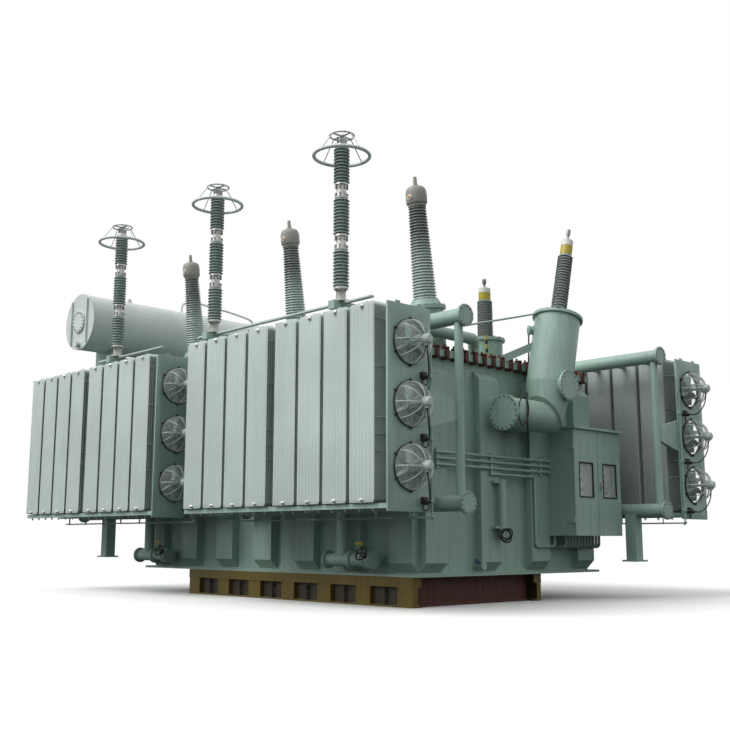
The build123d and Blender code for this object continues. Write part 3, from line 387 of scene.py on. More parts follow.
def glaze(name, base, upper=None, change=0.0):
    """Glazed porcelain: a glassy coat over grey clay, its tone pooling a little in the hollows. A tall
    insulator cast in two parts has another tone above the height where they meet."""
    made, tree, place, shader = start_material(name)
    pool = add(tree, "ShaderNodeTexNoise", {"Vector": place, "Scale": 6.0, "Detail": 4.0}).outputs["Fac"]
    if upper:
        height = add(tree, "ShaderNodeSeparateXYZ", {"Vector": place}).outputs["Z"]
        base = blend(tree, band(tree, height, change - 0.25, change + 0.25), base, upper)
        tone = blend(tree, band(tree, pool, 0.3, 0.7, 0.0, 0.12), base, rgb("#A9B2AE"))
    else:
        tone = blend(tree, band(tree, pool, 0.3, 0.7), shift_tone(base, 0.93), shift_tone(base, 1.05))
    dust = add(tree, "ShaderNodeTexNoise", {"Vector": place, "Scale": 30.0, "Detail": 3.0}).outputs["Fac"]
    tree.links.new(tone, shader.inputs["Base Color"])
    tree.links.new(band(tree, dust, 0.3, 0.7, 0.20, 0.32), shader.inputs["Roughness"])
    shader.inputs["IOR"].default_value = 1.52
    shader.inputs["Coat Weight"].default_value = 0.25
    shader.inputs["Coat Roughness"].default_value = 0.08
    return made


def metal(name, base, roughness=0.36, scale=35.0):
    """Bare metal: a grey mirror broken up by its cast or drawn grain and dulled by weather."""
    made, tree, place, shader = start_material(name)
    cloud = add(tree, "ShaderNodeTexNoise", {"Vector": place, "Scale": 4.0, "Detail": 6.0}).outputs["Fac"]
    tone = blend(tree, band(tree, cloud, 0.3, 0.7), shift_tone(base, 0.78), shift_tone(base, 1.05))
    grain = add(tree, "ShaderNodeTexNoise", {"Vector": place, "Scale": scale, "Detail": 5.0}).outputs["Fac"]
    cast = add(tree, "ShaderNodeBump", {"Strength": 0.15, "Distance": 0.003, "Height": grain})
    tree.links.new(tone, shader.inputs["Base Color"])
    tree.links.new(band(tree, grain, 0.3, 0.7, roughness - 0.08, roughness + 0.14), shader.inputs["Roughness"])
    tree.links.new(cast.outputs["Normal"], shader.inputs["Normal"])
    shader.inputs["Metallic"].default_value = 1.0
    return made


def rubber(name, base):
    """Rubber and cable sheath: near black, matt, greyed a little by dust."""
    made, tree, place, shader = start_material(name)
    dust = add(tree, "ShaderNodeTexNoise", {"Vector": place, "Scale": 25.0, "Detail": 5.0}).outputs["Fac"]
    tone = blend(tree, band(tree, dust, 0.45, 0.85, 0.0, 0.5), base, rgb("#55564F"))
    tree.links.new(tone, shader.inputs["Base Color"])
    tree.links.new(band(tree, dust, 0.3, 0.7, 0.5, 0.75), shader.inputs["Roughness"])
    return made


def pane(name):
    """Window glass: clear, faintly green, with a pale film of painted light on it that brightens the window."""
    made, tree, place, shader = start_material(name)
    film = add(tree, "ShaderNodeTexNoise", {"Vector": place, "Scale": 12.0, "Detail": 4.0}).outputs["Fac"]
    # Painted light: a near-white colour at part opacity makes the window read bright.
    tree.links.new(blend(tree, film, rgb("#D2DED8"), rgb("#E2EAE6")), shader.inputs["Base Color"])
    tree.links.new(band(tree, film, 0.3, 0.8, 0.02, 0.12), shader.inputs["Roughness"])
    tree.links.new(band(tree, film, 0.3, 0.8, 0.22, 0.34), shader.inputs["Alpha"])
    shader.inputs["IOR"].default_value = 1.46
    return made


MATERIALS = {}


def make_materials(colours):
    """Every material of the object, by the name of what it covers."""
    tank, grime = tuple(colours.tank), rgb("#5E6F69")
    MATERIALS.update(
        tank=enamel("tank_enamel", tank, grime),
        fins=enamel("radiator_enamel", tuple(colours.fins), rgb("#8A9B96"), 0.38, 0.22),
        # Painted shade: a darker copy of the radiator enamel for the back banks.
        back_fins=enamel("back_radiator_shaded_enamel", tuple(colours.back_fins), rgb("#6C7574"), 0.42, 0.3),
        pale=enamel("conservator_enamel", tuple(colours.conservator), rgb("#8F9C98"), 0.36, 0.2),
        # Skid yellow: base darkened as painted shade, and painted shade in the recesses between stiffeners.
        yellow=enamel("skid_yellow_painted_shade", tuple(colours.yellow), rgb("#3B2F12"), 0.5, 0.6,
                      recess=abs(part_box("skid_front_beam")[0].y)),
        red=enamel("red_oxide_primer", tuple(colours.red), rgb("#2E1B15"), 0.62, 0.6, tuple(colours.yellow), 0.42),
        clamp=enamel("clamp_primer", rgb("#552419"), rgb("#2B1A16"), 0.6, 0.5),
        porcelain=glaze("grey_glaze", tuple(colours.porcelain)),
        tall_porcelain=glaze("tall_bushing_glaze", rgb("#B3BFBA"), rgb("#727874"), 5.80),
        dark_porcelain=glaze("low_bushing_glaze", rgb("#787E7B")),
        arrester=glaze("arrester_glaze", rgb("#7F8F8C")),
        cast=enamel("cast_head", rgb("#96958D"), rgb("#85837A"), 0.58, 0.15),
        metal=metal("cast_aluminium", tuple(colours.metal)),
        bolt=metal("zinc_bolts", rgb("#8F9490"), 0.45, 60.0),
        bright=metal("bright_plugs", rgb("#E4E5E1"), 0.22, 60.0),
        wire=enamel("galvanised_wire", rgb("#CDD3D0"), rgb("#9AA19D"), 0.38, 0.2),
        blade=enamel("blade_paint", rgb("#7F978D"), rgb("#55655E"), 0.4, 0.2),
        black=rubber("black_rubber", rgb("#141513")),
        blue=enamel("valve_blue", rgb("#2C4C86"), rgb("#1B2A44"), 0.4, 0.2),
        tag=enamel("tag_yellow", rgb("#AC9B2A"), rgb("#6E5C18"), 0.45, 0.2),
        glass=pane("window_glass"),
        gold=glaze("amber_glass", rgb("#A8811F")),
        white=enamel("cap_white", rgb("#D8D9D2"), rgb("#9A9B92"), 0.4, 0.3),
        dial=enamel("instrument_plate", rgb("#E2E6E2"), rgb("#B9BFB9"), 0.45, 0.1),
    )


# Operators, one for a piece or a group of like pieces
class PaintedNodes(bpy.types.Operator):
    """Give the nodes kept from the frame their materials"""
    bl_idname = "transformer.painted_nodes"
    bl_label = "Painted nodes"

    def execute(self, context):
        make_materials(context.scene.transformer_colours)
        kinds = {"skid_front_beam": "yellow", "skid_back_beam": "yellow", "skid_end_beams": "red",
                 "skid_inner_beams": "red", "cabinet_left_window": "glass",
                 "cabinet_right_window": "glass", "arrester_units": "porcelain", "hv_porcelains": "porcelain",
                 "lv_porcelains": "porcelain", "arrester_fittings": "metal", "hv_heads": "metal",
                 "lv_caps": "metal", "cabinet_panel": "dial", "conservator_shell": "pale",
                 "conservator_ends": "pale"}
        for name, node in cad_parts.items():
            kind = kinds.get(name, "blade" if name.startswith("rotor") else "tank")
            node.data.materials.clear()
            node.data.materials.append(MATERIALS[kind])
        return {"FINISHED"}


def pressed_fin(sizes, low, high):
    """One pressed fin at X = 0, Y = 0: two fluted sheets that meet at their edges."""
    columns, rows = 3 * sizes.flutes, 3
    clear_selection()
    bpy.ops.mesh.primitive_grid_add(x_subdivisions=columns, y_subdivisions=rows, size=1,
                                    location=(0, 0, (low + high) / 2), rotation=(math.pi / 2, 0, 0))
    bpy.context.object.scale = (sizes.panel_width, high - low, 1)
    fin = settle("pressed_fin")
    half, step = sizes.panel_width / 2, sizes.panel_width / columns
    edge = 0.045

    def push(test, move):
        for vertex in fin.data.vertices:
            vertex.select = test(vertex.co)
        bpy.ops.object.mode_set(mode="EDIT")
        bpy.ops.transform.translate(value=move)
        bpy.ops.object.mode_set(mode="OBJECT")

    def select_only():
        bpy.ops.object.mode_set(mode="EDIT")
        bpy.ops.mesh.select_mode(type="VERT")
        bpy.ops.mesh.select_all(action="DESELECT")
        bpy.ops.object.mode_set(mode="OBJECT")

    third = (high - low) / rows
    middle = (low + high) / 2
    select_only()
    push(lambda co: abs(co.z - (low + third)) < 0.01, (0, 0, edge - third))
    select_only()
    push(lambda co: abs(co.z - (high - third)) < 0.01, (0, 0, third - edge))
    inside = lambda co: abs(co.x) < half - 0.001 and abs(co.z - middle) < middle - low - 0.001
    select_only()
    push(inside, (0, -sizes.seam_depth, 0))
    select_only()
    push(lambda co: inside(co) and round((co.x + half) / step) % 3 != 0,
         (0, sizes.seam_depth - sizes.flute_depth, 0))
    choose(fin)
    twin = fin.modifiers.new("Twin", "MIRROR")
    twin.use_axis = (False, True, False)
    twin.merge_threshold = 0.0005
    bpy.ops.object.modifier_apply(modifier=twin.name)
    bpy.ops.object.mode_set(mode="EDIT")
    bpy.ops.mesh.select_all(action="SELECT")
    bpy.ops.mesh.normals_make_consistent(inside=False)
    bpy.ops.object.mode_set(mode="OBJECT")
    return fin


class Radiators(bpy.types.Operator):
    """Model the pressed-fin radiators of the four banks with their collector pipes and plugs"""
    bl_idname = "transformer.radiators"
    bl_label = "Radiators"

    def execute(self, context):
        sizes = context.scene.transformer_radiators
        for bank in BANKS:
            node = "radiators_" + bank
            low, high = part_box(node)
            front = bank.startswith("front")
            outer = low.y if front else high.y
            inner = high.y if front else low.y
            out = -1 if front else 1
            first = (low.x + high.x - 3 * sizes.panel_pitch - sizes.group_pitch) / 2
            top = high.z + sizes.rise
            pitch = (sizes.depth - 2 * sizes.flute_depth) / (sizes.fins - 1)
            fin = pressed_fin(sizes, low.z + 0.012, top - 0.012)
            fin.location = (first, outer - out * sizes.flute_depth, 0)
            fin = repeated(settle("fins"), sizes.fins, (0, -out * pitch, 0))
            pieces = [fin]
            plugs = []
            for z in (low.z + 0.045, top - 0.060):
                pieces.append(bar("collector", (first, outer, z), (first, inner, z), sizes.pipe, 20))
                nose = Vector((first, outer, z))
                plugs.append(turned("plug", [(-0.004, 0.036), (0.012, 0.036), (0.012, 0.024), (0.034, 0.024),
                                             (0.040, 0.019)], nose, (0, out, 0), 12))
            lift = block("lug", (first - 0.030, outer - out * 0.10 - 0.006, top - 0.03),
                         (first + 0.030, outer - out * 0.10 + 0.006, top + 0.028), 0.003)
            pieces.append(lift)
            # The back banks take the darker copy of the radiator paint, which is painted shade.
            paint = "fins" if front else "back_fins"
            for name, group, material, covers in (("radiator_fins_" + bank, pieces, paint, (node,)),
                                                  ("radiator_plugs_" + bank, plugs, "bright", ())):
                whole = joined(name, group)
                whole = repeated(whole, 4, (sizes.panel_pitch, 0, 0))
                whole = repeated(whole, 2, (sizes.group_pitch, 0, 0))
                finish(whole, ROOT, MATERIALS[material], covers, 30 if material == "bright" else 12)
        return {"FINISHED"}


class RadiatorTies(bpy.types.Operator):
    """Model the ties across the fin edges of each group, and the studs and conduit below the banks"""
    bl_idname = "transformer.radiator_ties"
    bl_label = "Radiator ties"

    def execute(self, context):
        sizes = context.scene.transformer_radiators
        ties = []
        for bank in BANKS:
            low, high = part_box("radiators_" + bank)
            front = bank.startswith("front")
            outer, out = (low.y, -1) if front else (high.y, 1)
            group = 3 * sizes.panel_pitch + sizes.panel_width
            tall = high.z - low.z
            for x in (low.x - 0.004, low.x + group + 0.004):
                row = []
                for drop, rise in ((0.07, -0.06), (0.32, 0.0), (0.58, 0.05), (0.66, 0.0), (0.74, -0.06)):
                    z = high.z - drop * tall
                    start = Vector((x, outer - out * 0.02, z))
                    end = Vector((x, outer - out * (sizes.depth - 0.03), z + rise * tall * 0.6))
                    row.append(bar("tie", start, end, 0.008, 6))
                tie = repeated(joined("ties", row), 2, (sizes.group_pitch, 0, 0))
                ties.append(tie)
        finish(joined("radiator_ties", ties), ROOT, MATERIALS["fins"])
        studs, runs = [], []
        for bank in BANKS:
            low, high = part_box("radiators_" + bank)
            outer, out = (low.y, -1) if bank.startswith("front") else (high.y, 1)
            for shift in (0.12, 0.40):
                foot = Vector((low.x + shift, outer - out * 0.105, low.z - 0.115))
                stud = turned("stud", [(0, 0.010), (0.020, 0.010), (0.022, 0.022), (0.040, 0.022), (0.042, 0.010),
                                       (0.110, 0.010)], foot, (0, 0, 1), 8)
                stud = repeated(stud, 4, (sizes.panel_pitch, 0, 0))
                studs.append(repeated(stud, 2, (sizes.group_pitch, 0, 0)))
            plate_low, plate_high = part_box("fan_plate_" + bank)
            y = (plate_high.y if out < 0 else plate_low.y) + out * 0.022
            z, end = low.z - 0.185, plate_high.x - 0.378
            runs.append(bar("conduit", (low.x + 0.15, y, z), (end, y, z), 0.013, 8))
            hanger = block("hanger", (low.x + 0.30, y - 0.016, z - 0.016),
                           (low.x + 0.304, y + 0.016, low.z - 0.010), 0.001)
            runs.append(repeated(hanger, 7, ((high.x - low.x - 0.45) / 6, 0, 0)))
            runs.append(turned("bend", [(-0.034, 0.016), (-0.030, 0.024), (0.030, 0.024), (0.034, 0.016)],
                               (end, y, z), (0.7, 0, 0.7), 12))
        finish(joined("radiator_frame_studs", studs), ROOT, MATERIALS["bolt"])
        finish(joined("radiator_frame_conduits", runs), ROOT, MATERIALS["tank"])
        return {"FINISHED"}


def dome_place(share, face):
    """Place along the X axis and radius of a fan guard's dome, from its rim (0) to the motor (1)."""
    angle = share * math.pi / 2
    return face + 0.026 + 0.262 * math.sin(angle), 0.064 + 0.250 * math.cos(angle)


class FanPlates(bpy.types.Operator):
    """Model the end plates with their openings, ribbed motors, domed guards, leads and conduits"""
    bl_idname = "transformer.fan_plates"
    bl_label = "Fan plates"

    def execute(self, context):
        sizes = context.scene.transformer_fans
        for bank in BANKS:
            node = "fan_plate_" + bank
            low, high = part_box(node)
            face = high.x - 0.400
            inward = 1 if bank.startswith("front") else -1
            inner = high.y if inward > 0 else low.y
            plate = block("plate", low, (face, high.y, high.z))
            painted, pale, wires, rims, leads = [], [], [], [], []
            for level in LEVELS:
                hub_low, hub_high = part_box(f"rotor_{bank}_{level}")
                centre = Vector((face, (hub_low.y + hub_high.y) / 2, (hub_low.z + hub_high.z) / 2))
                self.cut_opening(plate, centre, sizes.bore)
                pale += self.motor(centre) + self.spokes(sizes, centre)
                wires += self.rings(sizes, centre)
                rims += self.rim(centre)
                leads += self.lead(centre, inward)
                painted += self.branch(centre, inner, inward)
            choose(plate)
            eased = plate.modifiers.new("Eased", "BEVEL")
            eased.width, eased.segments, eased.limit_method = 0.003, 2, "ANGLE"
            bpy.ops.object.modifier_apply(modifier=eased.name)
            edge = inner - inward * 0.022
            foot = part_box("radiators_" + bank)[0].z - 0.185
            painted.append(bar("riser", (face + 0.022, edge, foot), (face + 0.022, edge, high.z - 0.62), 0.014, 8))
            for share in (0.25, 0.75):
                y = low.y + (high.y - low.y) * share
                painted.append(block("lug", (face - 0.025, y - 0.05, high.z - 0.02),
                                     (face - 0.010, y + 0.05, high.z + 0.035), 0.004))
            finish(joined("fan_end_plate_" + bank, [plate] + painted), ROOT, MATERIALS["tank"], (node,))
            finish(joined("fan_motors_" + bank, pale), ROOT, MATERIALS["fins"])
            finish(joined("fan_guard_wires_" + bank, wires), ROOT, MATERIALS["wire"])
            finish(joined("fan_rims_" + bank, rims), ROOT, MATERIALS["black"])
            finish(joined("fan_leads_" + bank, leads), ROOT, MATERIALS["black"])
        return {"FINISHED"}

    def cut_opening(self, plate, centre, radius):
        """Cut one round opening through the plate."""
        cutter = bar("cutter", centre - Vector((0.10, 0, 0)), centre + Vector((0.10, 0, 0)), radius, 64)
        choose(plate)
        hole = plate.modifiers.new("Opening", "BOOLEAN")
        hole.operation, hole.object = "DIFFERENCE", cutter
        bpy.ops.object.modifier_apply(modifier=hole.name)
        bpy.data.objects.remove(cutter)

    def motor(self, centre):
        """Motor with a bore for the shaft, ribs along it and a terminal box below."""
        start = centre + Vector((0.250, 0, 0))
        profile = [(0.066, 0.0246), (0, 0.0246), (0, 0.050), (0.010, 0.060), (0.012, 0.068), (0.128, 0.068),
                   (0.132, 0.062), (0.146, 0.056), (0.150, 0.028)]
        body = turned("motor", profile, start, (1, 0, 0), 28)
        rib = block("rib", start + Vector((0.020, -0.003, 0.062)), start + Vector((0.122, 0.003, 0.074)), 0.001)
        box = block("terminals", start + Vector((0.045, -0.028, -0.090)),
                    start + Vector((0.110, 0.028, -0.060)), 0.005)
        return [body, around(rib, 20, centre, (1, 0, 0)), box]

    def spokes(self, sizes, centre):
        """Curved bars that hold the motor over the opening."""
        places = [dome_place(i / 6, centre.x) for i in range(7)]
        pieces = []
        for (x0, r0), (x1, r1) in zip(places, places[1:]):
            pieces.append(bar("spoke", (x0, centre.y, centre.z + r0), (x1, centre.y, centre.z + r1), sizes.spoke, 8))
        return [around(joined("spoke", pieces), sizes.guard_spokes, centre, (1, 0, 0))]

    def rings(self, sizes, centre):
        """Wire rings of a guard, closer together towards the rim."""
        pieces = []
        for i in range(sizes.guard_rings):
            x, radius = dome_place(0.96 * i / (sizes.guard_rings - 1), centre.x)
            pieces.append(hoop("ring", (x, centre.y, centre.z), (1, 0, 0), radius + sizes.wire, sizes.wire, 44, 5))
        return pieces

    def rim(self, centre):
        """Rubber edge of the opening and the clips of the guard."""
        clip = block("clip", centre + Vector((0, -0.012, 0.318)), centre + Vector((0.034, 0.012, 0.356)), 0.004)
        return [hoop("rim", centre + Vector((0.008, 0, 0)), (1, 0, 0), 0.318, 0.012, 56, 8),
                around(clip, 6, centre, (1, 0, 0))]

    def lead(self, centre, inward):
        """Lead that hangs from the motor's terminals to a plug in a socket on the plate, with a spare loop."""
        route = ((0.328, 0, -0.086), (0.330, 0.008, -0.160), (0.322, 0.035, -0.270), (0.285, 0.090, -0.390),
                 (0.215, 0.160, -0.480), (0.145, 0.225, -0.490), (0.060, 0.250, -0.455))
        line = [centre + Vector((x, inward * y, z)) for x, y, z in route]
        socket = centre + Vector((0, inward * 0.250, -0.455))
        boss = turned("gland", [(0, 0.015), (0.016, 0.017), (0.020, 0.013), (0.036, 0.012)],
                      line[0] + Vector((0, 0, 0.002)), (0, 0, -1), 12)
        plug = turned("plug", [(0.060, 0.036), (0.066, 0.040), (0.098, 0.036), (0.104, 0.022), (0.128, 0.016)],
                      socket, (0.94, -inward * 0.18, -0.30), 14)
        box = block("socket", socket - Vector((0, 0.046, 0.052)), socket + Vector((0.066, 0.046, 0.052)), 0.012)
        loop = tube("spare_loop", oval(socket + Vector((0.045, inward * 0.012, -0.092)), (0.018, inward * 0.042, 0),
                                       (0.006, 0, 0.050)), 0.009, True)
        return [tube("lead", line, 0.011), boss, plug, box, loop]

    def branch(self, centre, inner, inward):
        """Conduit from a gland to the riser along the plate's inner edge."""
        gland = centre + Vector((0.022, inward * 0.25, -0.455))
        edge = Vector((gland.x, inner - inward * 0.022, gland.z))
        tee = block("tee", edge - Vector((0.022, 0.022, 0.035)), edge + Vector((0.022, 0.022, 0.035)), 0.006)
        return [bar("branch", gland, edge, 0.013, 8), tee]


class Rotors(bpy.types.Operator):
    """Model the twisted blades and hub of each fan rotor"""
    bl_idname = "transformer.rotors"
    bl_label = "Rotors"

    def execute(self, context):
        sizes = context.scene.transformer_fans
        blade = None
        for bank in BANKS:
            for level in LEVELS:
                name = f"rotor_{bank}_{level}"
                low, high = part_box(name)
                centre = Vector((low.x, (low.y + high.y) / 2, (low.z + high.z) / 2))
                if blade is None:
                    blade = self.model(sizes, high.x - low.x, (high.z - low.z) / 2)
                piece = copied(blade, "fan_blades_" + name[6:], centre)
                finish(piece, name, MATERIALS["blade"], (name,))
        bpy.data.objects.remove(blade)
        return {"FINISHED"}

    def model(self, sizes, reach, tip):
        """One rotor at the origin, its axis along +X, its back at X = 0."""
        root, middle = 0.055, 0.065
        clear_selection()
        bpy.ops.mesh.primitive_grid_add(x_subdivisions=4, y_subdivisions=6, size=1,
                                        location=(middle, 0, (root + tip - 0.004) / 2),
                                        rotation=(math.pi / 2, 0, math.pi / 2))
        bpy.context.object.scale = (0.15, tip - 0.004 - root, 1)
        blade = settle("blade")
        for row in range(7):
            height = root + (tip - 0.004 - root) * row / 6
            for vertex in blade.data.vertices:
                vertex.select = abs(vertex.co.z - height) < 0.01
            bpy.ops.object.mode_set(mode="EDIT")
            bpy.ops.mesh.select_mode(type="VERT")
            bpy.ops.transform.rotate(value=math.radians(46 - 22 * row / 6), orient_axis="Z",
                                     center_override=(middle, 0, height))
            bpy.ops.transform.resize(value=(1, 0.72 + 0.30 * row / 6, 1), center_override=(middle, 0, height))
            bpy.ops.mesh.select_all(action="DESELECT")
            bpy.ops.object.mode_set(mode="OBJECT")
        thick = blade.modifiers.new("Sheet", "SOLIDIFY")
        thick.thickness, thick.offset = 0.006, 0
        choose(blade)
        bpy.ops.object.modifier_apply(modifier=thick.name)
        around(blade, sizes.blades, (0, 0, 0), (1, 0, 0))
        hub = turned("hub", [(0.0, 0.045), (0.010, 0.060), (0.120, 0.062), (0.128, 0.052), (0.130, 0.024),
                             (reach, 0.024)], (0, 0, 0), (1, 0, 0), 24)
        return joined("rotor", [hub, blade])


def shed_stations(start, end, root, tip, count, depth):
    """Stations of a porcelain body: sheds with a flat underside and a sloping top."""
    stations = [(start, root - depth)]
    pitch = (end - start) / count
    for i in range(count):
        z = start + i * pitch
        wide = root + (tip - root) * (i + 0.5) / count
        core = wide - depth
        stations += [(z + 0.22 * pitch, core), (z + 0.26 * pitch, wide - 0.004), (z + 0.34 * pitch, wide),
                     (z + 0.46 * pitch, wide - 0.004), (z + 0.98 * pitch, core)]
    return stations


class HighVoltageBushings(bpy.types.Operator):
    """Model the shedded porcelains and domed heads of the three tall bushings"""
    bl_idname = "transformer.high_voltage_bushings"
    bl_label = "High-voltage bushings"

    def execute(self, context):
        sizes = context.scene.transformer_bushings
        axis = Vector((0, math.sin(HV_LEAN), math.cos(HV_LEAN)))
        bodies, heads, rings, glasses = [], [], [], []
        stations = shed_stations(0, HV_LENGTH, 0.205, 0.150, sizes.hv_sheds, sizes.core_depth * 0.75)
        body = turned("sheds", stations, (0, 0, 0), axis, 36)
        dome = [(-0.010, 0.126), (0.0, 0.148), (0.030, 0.150), (0.048, 0.170), (0.075, 0.177), (0.190, 0.178),
                (0.245, 0.174), (0.285, 0.164), (0.315, 0.147), (0.334, 0.120), (0.343, 0.086), (0.346, 0.060),
                (0.366, 0.058),
                (0.370, 0.034), (0.500, 0.031), (0.512, 0.024)]
        head = turned("dome", dome, axis * HV_LENGTH, axis, 36)
        for x in PHASE_X:
            base = Vector((x, HV_BASE[0], HV_BASE[1]))
            bodies.append(copied(body, "sheds", base))
            heads.append(copied(head, "dome", base))
            toward = Vector((0.05, -1.0, 0.0))
            seat = base + axis * (HV_LENGTH + 0.125)
            rings.append(turned("bezel", [(0.140, 0.048), (0.184, 0.048), (0.188, 0.040), (0.184, 0.032)],
                                seat, toward, 20))
            glasses.append(turned("glass", [(0.160, 0.030), (0.187, 0.030), (0.190, 0.022)], seat, toward, 16))
        bpy.data.objects.remove(body)
        bpy.data.objects.remove(head)
        finish(joined("hv_porcelain_sheds", bodies), ROOT, MATERIALS["tall_porcelain"],
               ("hv_porcelains",), 40)
        finish(joined("hv_domed_heads", heads), ROOT, MATERIALS["cast"], ("hv_heads",), 40)
        finish(joined("hv_sight_bezels", rings), ROOT, MATERIALS["white"])
        finish(joined("hv_sight_glasses", glasses), ROOT, MATERIALS["gold"])
        return {"FINISHED"}


class Arresters(bpy.types.Operator):
    """Model the surge arresters with their units, flanges and grading rings"""
    bl_idname = "transformer.arresters"
    bl_label = "Arresters"

    def execute(self, context):
        sizes = context.scene.transformer_bushings
        unit_length, joint, foot = 0.575, 0.250, 0.233
        stations = shed_stations(0, unit_length, 0.127, 0.127, sizes.arrester_sheds, 0.030)
        unit = turned("unit", stations, (0, 0, 0), (0, 0, 1), 28)
        spool = [(0, 0.088), (0.004, 0.104), (0.030, 0.106), (0.034, 0.086), (0.070, 0.078), (joint / 2, 0.074),
                 (joint - 0.070, 0.078), (joint - 0.034, 0.086), (joint - 0.030, 0.106), (joint - 0.004, 0.104),
                 (joint, 0.088)]
        coupling = turned("coupling", spool, (0, 0, 0), (0, 0, 1), 28)
        pedestal = turned("pedestal", [(0, 0.150), (0.024, 0.150), (0.026, 0.078), (0.150, 0.074), (0.190, 0.092),
                                       (0.200, 0.112), (0.230, 0.112), (foot, 0.090)], (0, 0, 0), (0, 0, 1), 28)
        crown = turned("crown", [(0, 0.088), (0.004, 0.106), (0.030, 0.106), (0.034, 0.090), (0.060, 0.084),
                                 (0.064, 0.030), (0.236, 0.022), (0.240, 0.018)], (0, 0, 0), (0, 0, 1), 28)
        units, fittings, rings, bolts = [], [], [], []
        for x in PHASE_X:
            base = Vector((x, ARRESTER_Y, ARRESTER_Z))
            fittings.append(copied(pedestal, "pedestal", base))
            base.z += foot
            for level in range(3):
                units.append(copied(unit, "unit", base))
                base.z += unit_length
                if level < 2:
                    fittings.append(copied(coupling, "coupling", base))
                    for z in (0.034, joint - 0.092):
                        start = base + Vector((0.092, 0, z))
                        bolt = bar("bolt", start, start + Vector((0, 0, 0.058)), 0.017, 6)
                        bolts.append(around(bolt, 6, base, (0, 0, 1)))
                    base.z += joint
            fittings.append(copied(crown, "crown", base))
            large, small = base + Vector((0, 0, -joint / 2)), base + Vector((0, 0, 0.205))
            rings.append(hoop("ring", large, (0, 0, 1), 0.435, 0.028, 64, 12))
            rings.append(hoop("ring", small, (0, 0, 1), 0.190, 0.015, 48, 10))
            strut = bar("strut", small + Vector((0.187, 0, 0)), large + Vector((0.425, 0, 0.015)), 0.009, 8)
            rings.append(around(strut, 4, base, (0, 0, 1)))
            arm = block("arm", small + Vector((0.010, -0.020, -0.012)), small + Vector((0.185, 0.020, 0.004)), 0.003)
            fittings.append(around(arm, 4, base, (0, 0, 1)))
            for turn, tall in ((0.065, 0.15), (-0.065, 0.12)):
                place = base + Vector((turn, 0, 0.030))
                bolts.append(around(bar("stud", place, place + Vector((0, 0, tall)), 0.016, 8), 3, base, (0, 0, 1)))
        rails = [block("rail", (start, ARRESTER_Y - 0.040, ARRESTER_Z - 0.036),
                       (end, ARRESTER_Y + 0.040, ARRESTER_Z - 0.004), 0.004)
                 for start, end in ((-4.650, -2.300), (-1.150, 3.285))]
        finish(joined("arrester_rails", rails), ROOT, MATERIALS["fins"])
        for piece in (unit, coupling, pedestal, crown):
            bpy.data.objects.remove(piece)
        finish(joined("arrester_sheds", units), ROOT, MATERIALS["arrester"], ("arrester_units",), 40)
        finish(joined("arrester_flanges", fittings), ROOT, MATERIALS["metal"],
               ("arrester_fittings",), 40)
        finish(joined("arrester_bolts", bolts), ROOT, MATERIALS["bolt"])
        finish(joined("arrester_rings", rings), ROOT, MATERIALS["wire"], (), 60)
        return {"FINISHED"}


class LowVoltageBushings(bpy.types.Operator):
    """Model the two low bushings with sheds, collars and caps"""
    bl_idname = "transformer.low_voltage_bushings"
    bl_label = "Low-voltage bushings"

    def execute(self, context):
        sizes = context.scene.transformer_bushings
        lean = Vector((0, math.sin(ELBOW_LEAN), math.cos(ELBOW_LEAN)))
        sheds, caps, bands, clamps = [], [], [], []
        upright = Vector((0, 0, 1))
        for base, axis, tall, cap in ((ELBOW_TOP, lean, 1.200, 1.0), (COVER_TURRET_TOP, upright, 0.700, 0.75)):
            base = Vector(base)
            stations = [(0, 0.150), (0.020, 0.150), (0.022, 0.112)]
            count = round(sizes.lv_sheds * tall / 1.200 / cap ** 2)
            stations += shed_stations(0.030, tall, 0.144, 0.136, count, 0.022 * cap)
            sheds.append(turned("sheds", stations, base, axis, 32))
            top = base + axis * tall
            profile = ((-0.010, 0.096), (0.020, 0.100), (0.190, 0.100), (0.196, 0.106), (0.300, 0.106),
                       (0.312, 0.090), (0.316, 0.040))
            caps.append(turned("cap", [(z * cap, r) for z, r in profile], top, axis, 28))
            profile = ((0.022, 0.100), (0.022, 0.107), (0.186, 0.107), (0.186, 0.100))
            bands.append(turned("band", [(z * cap, r) for z, r in profile], top, axis, 28))
            profile = ((0.300, 0.030), (0.350, 0.026), (0.362, 0.020), (0.400, 0.022), (0.430, 0.036),
                       (0.520, 0.038), (0.536, 0.026))
            clamps.append(turned("terminal", [(z * cap, r) for z, r in profile], top, axis, 18))
        finish(joined("lv_porcelain_sheds", sheds), ROOT, MATERIALS["dark_porcelain"],
               ("lv_porcelains",), 40)
        finish(joined("lv_white_caps", caps), ROOT, MATERIALS["white"], ("lv_caps",), 40)
        finish(joined("lv_yellow_bands", bands), ROOT, MATERIALS["tag"])
        finish(joined("lv_terminals", clamps), ROOT, MATERIALS["bolt"])
        return {"FINISHED"}


